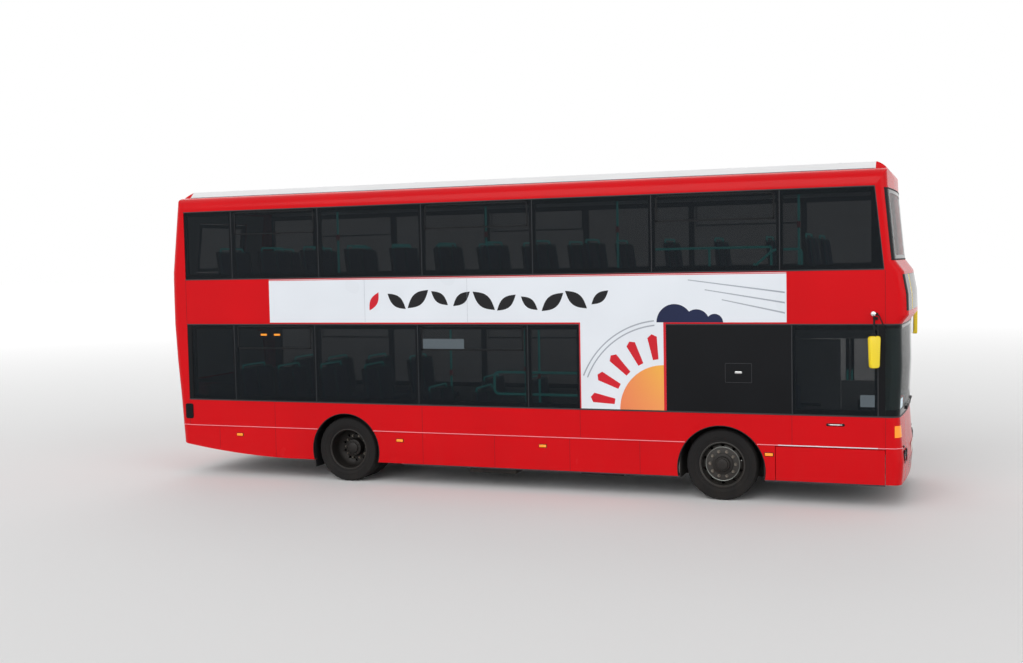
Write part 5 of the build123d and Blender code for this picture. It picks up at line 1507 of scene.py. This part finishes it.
@dataclass
class PassengerDoors(Assembly):
    """Four glazed door leaves: frame, pane, rubber edge and grab bar, each on a pivot of its own."""

    centre_y: float = 1.245
    half: float = 0.02
    low: float = 0.36
    high: float = 2.25
    stile: float = 0.055

    def leaf(self, doorway: str, which: Leaf, x_low: float, x_high: float) -> None:
        """Build and dress one leaf.

        Args:
            doorway: The doorway's name.
            which: The leaf.
            x_low: Its rear edge.
            x_high: Its front edge.
        """
        label, node = f"{doorway}_door_{which.value}", f"{doorway}_door_{which.value}_leaf"
        y, s = self.centre_y, self.stile
        edge = 0.014 if which is Leaf.REAR else -0.014
        frame = slab(f"{label}_frame", rounded(x_low, x_high, self.low, self.high, 0.02, y - self.half),
            (0, 2 * self.half, 0))
        hole = slab("hole", rounded(x_low + s, x_high - s, self.low + 0.095, self.high - 0.075, 0.045, y - 0.05),
            (0, 0.1, 0))
        frame = bevel(cut(frame, hole), 0.003, 2)
        self.dress(frame, FRAME_BLACK, (node,), label)
        pane = slab(f"{label}_pane", rounded(x_low + s - 0.01, x_high - s + 0.01, self.low + 0.085, self.high - 0.065,
            0.05, y - 0.004), (0, 0.008, 0))
        self.dress(pane, SCREEN, (), label)
        shut = x_high if which is Leaf.REAR else x_low
        rubber = rod(f"{label}_rubber", (shut - edge / 4, y, self.low + 0.02), (shut - edge / 4, y, self.high - 0.02),
            0.0065, 10)
        self.dress(rubber, RUBBER, (), label)
        inside = y - self.half
        x = (x_high - 0.028) if which is Leaf.REAR else (x_low + 0.028)
        bar = pipe(f"{label}_grab_bar", [(x, inside + 0.004, 0.95), (x, inside - 0.045, 0.95),
            (x, inside - 0.045, 1.5), (x, inside + 0.004, 1.5)], 0.014, 0.04)
        self.dress(bar, TEAL_PAINTED_GLOW, (), label)

    def build(self) -> None:
        """Build the leaves of both doorways."""
        for name, rear, front in DOORWAYS:
            middle = (rear + front) / 2
            self.leaf(name, Leaf.REAR, rear + 0.012, middle - 0.004)
            self.leaf(name, Leaf.FRONT, middle + 0.004, front - 0.012)


@dataclass
class Saloon(Assembly):
    """Linings, ceilings, light strips, rails and stair nosings inside both decks."""

    skin: float = 0.003
    rear: float = -5.12

    def wall(self, side: int, x_low: float, x_high: float, z_low: float, z_high: float) -> Obj:
        """A flat lining on one side wall."""
        y = side * (INNER_Y - 0.0008)
        return box("lining", (x_low, y, z_low), (x_high, y - side * self.skin, z_high))

    def walls(self) -> None:
        """Linings of the side and end walls."""
        parts, step, cab = [], REAR_X + 0.88, FRONT_X + 0.625
        (_, front_low, _), (_, rear_low, rear_high) = DOORWAYS
        boxes = [(axle - 0.562, axle + 0.562) for axle in (REAR_X, FRONT_X)]
        for side, spans in ((-1, ((self.rear, cab),)), (1, ((self.rear, rear_low), (rear_high, front_low)))):
            for low, high in spans:
                parts.append(self.wall(side, low, high, 1.002, SILL_Z))
                cuts = [low, *[x for box in boxes for x in box if low < x < high], high]
                for x_low, x_high in zip(cuts, cuts[1:]):
                    if any(box[0] < (x_low + x_high) / 2 < box[1] for box in boxes):
                        continue
                    for part_low, part_high, floor in ((x_low, min(x_high, step), REAR_FLOOR_Z),
                            (max(x_low, step), x_high, LOW_FLOOR_Z)):
                        if part_high - part_low > 0.01:
                            parts.append(self.wall(side, part_low, part_high, floor, 1.002))
        for side in (-1, 1):
            parts += [self.wall(side, self.rear, SIDE_FRONT_X - 0.02, HEAD_Z, 2.338),
                self.wall(side, self.rear, RAKE_LOW_X - 0.02, UPPER_FLOOR_Z, UPPER_SILL_Z),
                self.wall(side, self.rear, RAKE_TOP_X - 0.03, UPPER_HEAD_Z, COVE_Z)]
        high = 1.13
        # Columns: at the nose, heights, how far the middle stays open
        for front, heights, low in ((True, (2.402, 2.42, 2.68, 2.96, 3.1, 3.155), 0.0),
                (False, (2.402, 2.96, 3.085), 0.0), (False, (3.875, 3.96, 4.02), 0.0),
                (False, (1.44, 1.74, 2.3), 0.0), (False, (3.085, 3.48, 3.875), 0.66)):
            spans = [(-high, high)] if low == 0 else [(low, high), (-high, -low)]
            way = 1 if front else -1
            for y_low, y_high in spans:
                rows = [[(face_x(y_low + (y_high - y_low) * i / 8, z, front) - way * LINING_INSET,
                    y_low + (y_high - y_low) * i / 8, z) for i in range(9)] for z in heights]
                parts.append(sheet("end_lining", rows, (-way * self.skin, 0, 0)))
        self.put("wall_linings", parts, PANEL)
        self.dress(self.wall(-1, FRONT_X + 0.665, SIDE_FRONT_X - 0.02, 0.52, SILL_Z), CAB_TRIM)

    def ceilings(self) -> None:
        """The lower ceiling round the stairwell, the vaulted upper one, and their light strips."""
        well = (FRONT_X - 1.155, FRONT_X + 0.625)
        lower = [box("ceiling", (self.rear, -0.585, LOWER_CEILING_Z), (5.05, 1.205, 2.3385)),
            box("ceiling", (self.rear, -1.205, LOWER_CEILING_Z), (well[0], -0.587, 2.3385)),
            box("ceiling", (well[1], -1.205, LOWER_CEILING_Z), (5.05, -0.587, 2.3385))]
        half = [(COVE_Y + 0.1385 * math.cos(math.radians(a)), COVE_Z + 0.1385 * math.sin(math.radians(a)))
            for a in range(0, 91, 15)]
        half += [(0.955, 4.264), (0.5, 4.281), (0.0, 4.287)]
        vault = half + [(-y, z) for y, z in reversed(half[:-1])]
        inner = [(y * 0.9975, z - self.skin) for y, z in vault]
        upper = slab("vault", [(self.rear, y, z) for y, z in vault + inner[::-1]],
            (RAKE_TOP_X - 0.03 - self.rear, 0, 0))
        self.put("ceiling_linings", [*lower, upper], CEILING)
        strips = []
        for x in (-4.7, -3.2, -1.7, -0.2):
            strips += twins("strip", (x, 0.6, 2.322), (x + 1.35, 0.72, 2.3355), 0.005)
        for x in (-4.8, -3.3, -1.8, -0.3, 1.2, 2.7):
            strips += twins("strip", (x, 0.78, 4.245), (x + 1.35, 0.9, 4.2625), 0.005)
        self.put("light_strips", strips, LIGHT_STRIP)

    def rails(self) -> None:
        """Bent guard rails, the flanges of the poles, and bell pushes."""
        pipes = [pipe("rail", [(1.11, -1.213, 1.634), (1.11, -1.125, 1.634), (-0.14, -1.125, 1.634),
            (-0.14, -1.125, 1.328), (1.11, -1.125, 1.328), (1.11, -1.213, 1.328)], 0.018, 0.08)]
        pipes += [rod("stub", (0.416, -1.125, z), (0.416, -1.213, z), 0.012, 12) for z in (1.328, 1.634)]
        pipes.append(pipe("guard", [(3.5, -1.15, UPPER_FLOOR_Z), (3.5, -1.15, 3.057), (3.74, -1.15, 3.261),
            (4.09, -1.15, 3.261), (4.09, -1.15, UPPER_FLOOR_Z)], 0.016, 0.06))
        flanges, pushes = [], []
        for poles, low, high in ((((3.56, 0.56), (1.78, 0.56), (0.33, -0.56), (-0.2, 0.318), (-1.15, -0.318)),
                LOW_FLOOR_Z, LOWER_CEILING_Z), (((3.95, -0.318), (1.45, -0.318), (-0.8, 0.318), (-3.0, -0.318)),
                UPPER_FLOOR_Z, 4.27)):
            for x, y in poles:
                for z, way in ((low, 1), (high, -1)):
                    flanges.append(lathe("flange", [(-0.002, 0.0165), (-0.002, 0.042), (0.006, 0.042), (0.012, 0.03),
                        (0.03, 0.022), (0.03, 0.0165)], (x, y, z), (0, 0, way), 20))
                pushes.append(box("push", (x - 0.024, y - 0.024, low + 1.15), (x + 0.024, y + 0.024, low + 1.24),
                    0.01, 3))
        self.put("guard_rails", pipes, TEAL_PAINTED_GLOW)
        self.put("pole_flanges", flanges, BRIGHT)
        self.put("bell_pushes", pushes, LENS_RED)

    def stairs(self) -> None:
        """Yellow nosings on the stairs and the rear step, and the stair's handrail."""
        nosings = []
        for step in range(1, 10):
            x, z = FRONT_X - 1.82 + 0.244 * step, LOW_FLOOR_Z + 0.206 * step
            nosings.append(box("nosing", (x - 0.004, -1.2, z - 0.028), (x + 0.038, -0.605, z + 0.003), 0.002, 1))
        nosings.append(box("nosing", (REAR_X + 1.145, -0.495, 0.455), (REAR_X + 1.184, 0.495, 0.483), 0.002, 1))
        self.put("step_nosings", nosings, NOSING)
        rail = pipe("stair_rail", [(1.42, -1.205, 1.3), (1.42, -1.15, 1.32), (3.5, -1.15, 3.06), (3.5, -1.205, 3.08)],
            0.015, 0.06)
        self.dress(rail, TEAL_PAINTED_GLOW)

    def build(self) -> None:
        """Build the linings and fittings of both decks."""
        self.walls()
        self.ceilings()
        self.rails()
        self.stairs()


@dataclass
class Pads:
    """Padded shapes, blown up by a cloth simulation."""

    pressure: float = 4.0
    frames: int = 20

    def swell(self, obj: Obj, cap: float) -> Obj:
        """Blow a closed mesh up, keeping each point within a cap of where it was.

        Args:
            obj: The closed mesh.
            cap: How far a point may move.

        Returns:
            The padded mesh.
        """
        before = [vertex.co.copy() for vertex in obj.data.vertices]
        activate(obj)
        cloth = obj.modifiers.new("cloth", "CLOTH")
        cloth.settings.use_pressure = True
        cloth.settings.uniform_pressure_force = self.pressure
        cloth.settings.effector_weights.gravity = 0
        for step in range(1, self.frames + 1):
            bpy.context.scene.frame_set(step)
        bpy.ops.object.modifier_apply(modifier=cloth.name)
        bpy.context.scene.frame_set(1)
        for vertex, place in zip(obj.data.vertices, before):
            shift = vertex.co - place
            if shift.length > cap:
                vertex.co = place + shift.normalized() * cap
        obj.data.update()
        return modify(obj, "SUBSURF", levels=1, render_levels=1)

    def block(self, name: str, low: Point, high: Point, cuts: int, cap: float) -> Obj:
        """A padded block between two corners, its edges pulled in between the corners."""
        obj = box(name, low, high)
        with editing(obj):
            bpy.ops.mesh.subdivide(number_cuts=cuts)
        return self.swell(obj, cap)


@dataclass
class PassengerSeats(Assembly):
    """Padded double seats on shells, with piping, pedestals and grab bars.

    Attributes:
        lower: Rows of the lower saloon. Columns: side, front edge x, foot z, on a pedestal.
        place_y: The middle of a double seat.
    """

    place_y: float = 0.765
    lower: tuple[tuple[int, float, float, bool], ...] = ((1, 2.44, LOW_FLOOR_Z, True), (1, 0.35, LOW_FLOOR_Z, True),
        (1, -0.38, LOW_FLOOR_Z, True), (-1, 0.12, LOW_FLOOR_Z, True), (-1, -0.61, LOW_FLOOR_Z, True))

    def rows(self, upper: bool) -> list[tuple[int, float, float, bool]]:
        """The rows of one deck."""
        if upper:
            near = [(1, 4.7 - 0.73 * row, UPPER_FLOOR_Z, True) for row in range(13)]
            return near + [(-1, 4.7 - 0.73 * row, UPPER_FLOOR_Z, True) for row in (0, *range(4, 13))]
        rear = [(side, x, z, pedestal) for side in (-1, 1) for x, z, pedestal in ((-1.64, 0.65, False),
            (-2.37, 0.65, False), (-3.1, REAR_FLOOR_Z, True), (-3.725, REAR_FLOOR_Z, True))]
        return [*self.lower, *rear]

    def lean(self, obj: Obj) -> Obj:
        """Lean an upright back about its foot, as the solid seat leans."""
        foot = Matrix.Translation((-0.452, 0, 0.43))
        obj.data.transform(foot @ Matrix.Rotation(-math.atan2(0.075, 0.59), 4, "Y") @ foot.inverted())
        return obj

    def units(self) -> list[tuple[str, Obj, Finish, bool]]:
        """Model each piece of one double seat once. Columns: name, mesh, finish, padded."""
        pads = Pads()
        cushion = pads.block("cushion", (-0.415, -0.198, 0.378), (-0.006, 0.198, 0.428), 5, 0.022)
        back = self.lean(pads.block("back", (-0.478, -0.196, 0.455), (-0.44, 0.196, 1.0), 5, 0.02))
        half = 0.215
        cushions = join("seat_cushions", [copy(cushion, Matrix.Translation((0, y, 0))) for y in (-half, half)])
        backs = join("seat_backs", [copy(back, Matrix.Translation((0, y, 0))) for y in (-half, half)])
        piping = []
        for y in (-half, half):
            piping.append(pipe("pipe", [(-0.006, y - 0.196, 0.43), (-0.006, y + 0.196, 0.43)], 0.0055))
            head = [(-0.436, y + dy, z) for dy, z in ((-0.196, 0.52), (-0.196, 1.002), (0.196, 1.002), (0.196, 0.52))]
            piping.append(self.lean(pipe("pipe", head, 0.007, 0.05)))
        shell = slab("shell", [(-0.01, -0.428, 0.368), (-0.01, -0.428, 0.38), (-0.468, -0.428, 0.365),
            (-0.488, -0.428, 0.43), (-0.558, -0.428, 1.005), (-0.566, -0.428, 1.005), (-0.496, -0.428, 0.4),
            (-0.475, -0.428, 0.352)], (0, 0.856, 0))
        shell = bevel(shell, 0.003, 2)
        grab = pipe("grab", [(-0.562, -0.3, 0.95), (-0.566, -0.3, 1.05), (-0.566, 0.3, 1.05), (-0.562, 0.3, 0.95)],
            0.013, 0.04)
        for unused in (cushion, back):
            bpy.data.objects.remove(unused, do_unlink=True)
        return [("cushions", cushions, MOQUETTE, True), ("backs", backs, MOQUETTE, True),
            ("seat_piping", join("piping", piping), PIPING, False), ("seat_shells", shell, SHELL, False),
            ("seat_grab_bars", grab, TEAL_PAINTED_GLOW, False)]

    def legs(self, upper: bool) -> Obj:
        """Pedestals of one deck's seats: a tapered leg on a flanged foot."""
        parts = []
        for side, x, z in (row[:3] for row in self.rows(upper) if row[3]):
            y = side * self.place_y
            foot = [(x + dx, y - 0.03, z + dz) for dx, dz in ((-0.39 + 0.02, 0), (-0.1, 0), (-0.16, 0.362),
                (-0.34, 0.362))]
            parts += [bevel(slab("leg", foot, (0, 0.06, 0)), 0.008, 2),
                box("plate", (x - 0.39, y - 0.07, z), (x - 0.08, y + 0.07, z + 0.008), 0.003)]
        return join(f"{'upper' if upper else 'lower'}_seat_legs", parts)

    def build(self) -> None:
        """Build one seat, and set copies of it on both decks."""
        units = self.units()
        first = True
        for upper in (False, True):
            deck = "upper" if upper else "lower"
            for name, unit, finish, padded in units:
                copies = [copy(unit, Matrix.Translation((x, side * self.place_y, z)))
                    for side, x, z, _ in self.rows(upper)]
                piece = self.put(f"{deck}_{name}", copies, finish, ("passenger_seats",) if first else ())
                first = False
            self.dress(self.legs(upper), SHELL)
        for _, unit, _, _ in units:
            bpy.data.objects.remove(unit, do_unlink=True)


@dataclass
class Cab(Assembly):
    """The driver's place: padded seat, steering wheel grip, instruments, sheets and the cab door's fittings."""

    middle_y: float = -0.65

    def seat(self) -> None:
        """A sprung seat with padded cushion, back and head restraint."""
        pads, y = Pads(), self.middle_y
        parts = (("driver_cushion", (4.0, y - 0.205, 0.925), (4.405, y + 0.205, 0.975)),
            ("driver_back", (3.925, y - 0.19, 1.02), (3.965, y + 0.19, 1.5)),
            ("driver_headrest", (3.925, y - 0.115, 1.545), (3.96, y + 0.115, 1.66)))
        for index, (name, low, high) in enumerate(parts):
            piece = self.dress(pads.block(name, low, high, 9, 0.024), MOQUETTE,
                ("driver_seat",) if index == 0 else ())
        posts = [rod("post", (3.942, y + dy, 1.48), (3.942, y + dy, 1.58), 0.007, 10) for dy in (-0.05, 0.05)]
        arm = pipe("rest", [(3.95, y + 0.215, 1.18), (3.96, y + 0.24, 1.19), (4.23, y + 0.24, 1.19)], 0.022, 0.05)
        gaiter = lathe("gaiter", [(0.0, 0.0), (0.0, 0.11)] + [(0.02 + 0.028 * i, 0.09 + 0.014 * (i % 2))
            for i in range(12)] + [(0.345, 0.0)], (4.19, y, 0.52), (0, 0, 1), 32)
        base = box("base", (4.0, y - 0.19, 0.86), (4.4, y + 0.19, 0.915), 0.015, 3)
        shell = box("shell", (3.896, y - 0.2, 0.93), (3.916, y + 0.2, 1.52), 0.01, 3)
        self.put("driver_seat_frame", [*posts, arm, gaiter, base, shell], CAB_TRIM)

    def controls(self) -> None:
        """A round grip over the steering wheel's rim, instrument dials, switches and the fare machine."""
        line = Vector((-0.42, 0, 0.91)).normalized()
        middle = Vector((4.8, self.middle_y, 1.14))
        clear()
        bpy.ops.mesh.primitive_torus_add(major_radius=0.225, minor_radius=0.0215, major_segments=60,
            minor_segments=14, location=middle, rotation=line.to_track_quat("Z", "Y").to_euler())
        grip = named("steering_grip")
        apply_place(grip)
        self.dress(grip, CAB_TRIM)
        dials, bezels = [], []
        for dy, radius in ((-0.13, 0.055), (0.0, 0.07), (0.13, 0.055)):
            place = (4.9095, self.middle_y + dy, 1.06)
            facing = Vector((-0.93, 0, 0.24)).normalized()
            bezels.append(lathe("bezel", [(-0.02, radius), (0.01, radius), (0.012, radius + 0.006),
                (-0.02, radius + 0.006)], place, facing, 32))
            dials.append(lathe("dial", [(-0.02, 0.0), (-0.02, radius), (0.004, radius), (0.004, 0.0)], place, facing,
                32))
        self.put("dial_bezels", bezels, BRIGHT)
        self.put("dials", dials, DISPLAY)
        keys = [box("key", (4.975 + 0.035 * (i % 3), -0.42 + 0.04 * (i // 3), 1.128),
            (5.0 + 0.035 * (i % 3), -0.39 + 0.04 * (i // 3), 1.138), 0.003) for i in range(12)]
        machine = box("machine", (4.7, -0.32, 1.02), (4.86, -0.19, 1.25), 0.012, 3)
        stalk = box("stalk", (4.74, -0.29, 0.52), (4.82, -0.22, 1.03), 0.006)
        self.put("cab_switches", [*keys, machine, stalk], GLOSS_BLACK)

    def sheets(self) -> None:
        """Loose route sheets behind the glass, blank and glowing as painted light, and the cab door's handle."""
        outer, inner = PANE_SHEET_Y
        rows = [[(face_x(y, z) - 0.0085, y, z) for y in (-1.115, -1.05, -0.98, -0.91)] for z in (1.25, 1.375)]
        pale = [box("sheet", (4.808, outer, 1.278), (4.99, inner, 1.428)),
            box("notice", (-1.185, outer, 1.962), (-0.534, inner, 2.104)), sheet("sheet", rows, (-0.0012, 0, 0))]
        self.put("route_sheets", pale, GLOWING_PAPER)
        handle = pipe("cab_door_handle", [(4.38, -0.152, 1.2), (4.38, -0.118, 1.2), (4.28, -0.118, 1.2)], 0.009, 0.02)
        self.dress(handle, BRIGHT, (), "cab_door_panel")

    def build(self) -> None:
        """Build the driver's place."""
        self.seat()
        self.controls()
        self.sheets()


@dataclass
class Underbody(Assembly):
    """Tanks, battery box and mud flaps, and the engine's ribs and pulleys."""

    def build(self) -> None:
        """Build the hidden machinery."""
        tanks, straps = [], []
        for x, y in ((1.15, 0.0), (1.15, -0.22), (-0.35, 0.0)):
            tanks.append(lathe("tank", [(-0.36, 0.0), (-0.35, 0.05), (-0.31, 0.095), (0.31, 0.095), (0.35, 0.05),
                (0.36, 0.0)], (x, y, 0.175), (1, 0, 0), 28))
            for dx in (-0.2, 0.2):
                straps.append(box("strap", (x + dx - 0.015, y - 0.02, 0.165), (x + dx + 0.015, y + 0.02, 0.29),
                    0.003))
        tanks.append(box("fuel", (-1.45, 0.48, 0.215), (-0.75, 1.1, 0.278), 0.02, 3))
        tanks.append(box("battery", (-0.55, -1.1, 0.2), (0.15, -0.5, 0.278), 0.01, 2))
        self.put("tanks", tanks, CHASSIS)
        self.put("tank_straps", straps, BRIGHT)
        flaps = twins("flap", (REAR_X - 0.546, 0.64, 0.19), (REAR_X - 0.537, 1.213, 0.8), 0.002, 1)
        brackets = twins("bracket", (REAR_X - 0.538, 0.64, 0.7), (REAR_X - 0.526, 1.213, 0.73), 0.003, 1)
        self.put("mud_flaps", flaps, RUBBER)
        self.put("flap_brackets", brackets, CHASSIS)
        ribs = [box("rib", (-4.398, -0.7 + 0.12 * i, 0.5), (-4.385, -0.66 + 0.12 * i, 1.26), 0.003) for i in range(9)]
        pulleys = [lathe("pulley", [(0.0, 0.0), (0.0, radius), (0.015, radius - 0.01), (0.03, radius), (0.03, 0.0)],
            (x, 0.421, z), (0, 1, 0), 28) for x, z, radius in ((-4.76, 0.72, 0.13), (-4.62, 1.05, 0.07),
            (-4.95, 1.02, 0.08))]
        self.put("engine_ribs", [*ribs, *pulleys], ENGINE)


@dataclass
class Studio:
    """Plain pale floor, soft light and the camera at the photograph's place.

    Attributes:
        place: The camera's place.
        yaw: Its turn to the left of +Y, in degrees, as pitch and roll are.
        pitch: Its tilt above the horizon.
        roll: Its lean.
        lens: Focal length in millimetres, on the sensor's width.
        sensor: The sensor's width.
        sky: The sky's strength as a light.
        lamps: Columns: name, place, strength.
    """

    place: Point = (6.019, -16.686, 3.173)
    yaw: float = 20.7338
    pitch: float = -3.3403
    roll: float = -1.132
    lens: float = 42.18
    sensor: float = 36.0
    sky: float = 0.55
    lamps: tuple[tuple[str, Point, float], ...] = (("key", (-3, -17, 13), 1.3), ("fill", (17, -9, 8), 0.55),
        ("back", (-6, 16, 11), 0.6))

    def camera(self) -> None:
        """Set up the camera."""
        yaw, pitch, roll = (math.radians(v) for v in (self.yaw, self.pitch, self.roll))
        ahead = Vector((-math.sin(yaw) * math.cos(pitch), math.cos(yaw) * math.cos(pitch), math.sin(pitch)))
        right = Vector((math.cos(yaw), math.sin(yaw), 0))
        up = right.cross(ahead)
        right, up = right * math.cos(roll) + up * math.sin(roll), up * math.cos(roll) - right * math.sin(roll)
        data = bpy.data.cameras.new("camera")
        data.lens, data.sensor_width, data.sensor_fit = self.lens, self.sensor, "HORIZONTAL"
        data.clip_start, data.clip_end = 0.1, 300
        obj = bpy.data.objects.new("camera", data)
        obj.matrix_world = Matrix((right, up, -ahead)).transposed().to_4x4()
        obj.location = self.place
        bpy.context.scene.collection.objects.link(obj)
        bpy.context.scene.camera = obj

    def floor(self) -> None:
        """A pale floor that fades into the white of the sky, far from the bus."""
        clear()
        bpy.ops.mesh.primitive_plane_add(size=400)
        obj = named("studio_floor")
        wiring = Wiring("floor_pale")
        path = wiring.node("LightPath").outputs
        seen = wiring.math("MAXIMUM", wiring.math("MAXIMUM", path["Is Camera Ray"], path["Is Glossy Ray"]),
            path["Is Transmission Ray"])
        away = wiring.node("VectorMath", {0: wiring.coords}, operation="LENGTH").outputs["Value"]
        fade = wiring.spread(away, 9.0, 45.0, 0.0, 1.0)
        wiring.shader.inputs["Roughness"].default_value = 0.9
        wiring.shader.inputs["Specular IOR Level"].default_value = 0.1
        wiring.into("Base Color", wiring.mix(wiring.math("MULTIPLY", fade, seen), (0.8, 0.8, 0.8, 1),
            (0.0, 0.0, 0.0, 1)))
        wiring.shader.inputs["Emission Color"].default_value = (1, 1, 1, 1)
        wiring.into("Emission Strength", wiring.math("MULTIPLY", fade, seen))
        obj.data.materials.append(wiring.material)

    def lamp(self, name: str, place: Point, strength: float) -> None:
        """A broad, far lamp that shines from a place towards the bus."""
        data = bpy.data.lights.new(name, "SUN")
        data.energy, data.angle = strength, math.radians(50)
        obj = bpy.data.objects.new(name, data)
        obj.location = place
        obj.rotation_euler = (Vector((0, 0, 2)) - Vector(place)).to_track_quat("-Z", "Y").to_euler()
        bpy.context.scene.collection.objects.link(obj)

    def world(self) -> None:
        """An even pale sky, white to the eye and to reflections."""
        world = bpy.data.worlds.new("sky")
        bpy.context.scene.world = world
        world.use_nodes = True
        tree = world.node_tree
        back, path = tree.nodes["Background"], tree.nodes.new("ShaderNodeLightPath")
        seen = path.outputs["Is Camera Ray"]
        for ray in ("Is Glossy Ray", "Is Transmission Ray"):
            either = tree.nodes.new("ShaderNodeMath")
            either.operation = "MAXIMUM"
            tree.links.new(seen, either.inputs[0])
            tree.links.new(path.outputs[ray], either.inputs[1])
            seen = either.outputs[0]
        level = tree.nodes.new("ShaderNodeMapRange")
        level.inputs["To Min"].default_value = self.sky
        level.inputs["To Max"].default_value = 1.0
        tree.links.new(seen, level.inputs["Value"])
        tree.links.new(level.outputs[0], back.inputs["Strength"])
        back.inputs["Color"].default_value = (1, 1, 1, 1)

    def build(self) -> None:
        """Set the whole studio up."""
        self.camera()
        self.floor()
        self.world()
        for name, place, strength in self.lamps:
            self.lamp(name, place, strength)
        bpy.context.scene.view_settings.view_transform = "Standard"


def main() -> None:
    """Build every assembly in order."""
    random.seed(7)
    Studio().build()
    dress_solids()
    total = 0
    for assembly in (RollingStock(), SideTrim(), SideWindows(), Advert(), FrontEnd(), Mirrors(), RearEnd(), Roof(),
            PassengerDoors(), Saloon(), PassengerSeats(), Cab(), Underbody()):
        assembly.build()
        total += assembly.triangles
    LOG.info("all pieces: %d triangles", total)


if __name__ == "__main__":
    main()
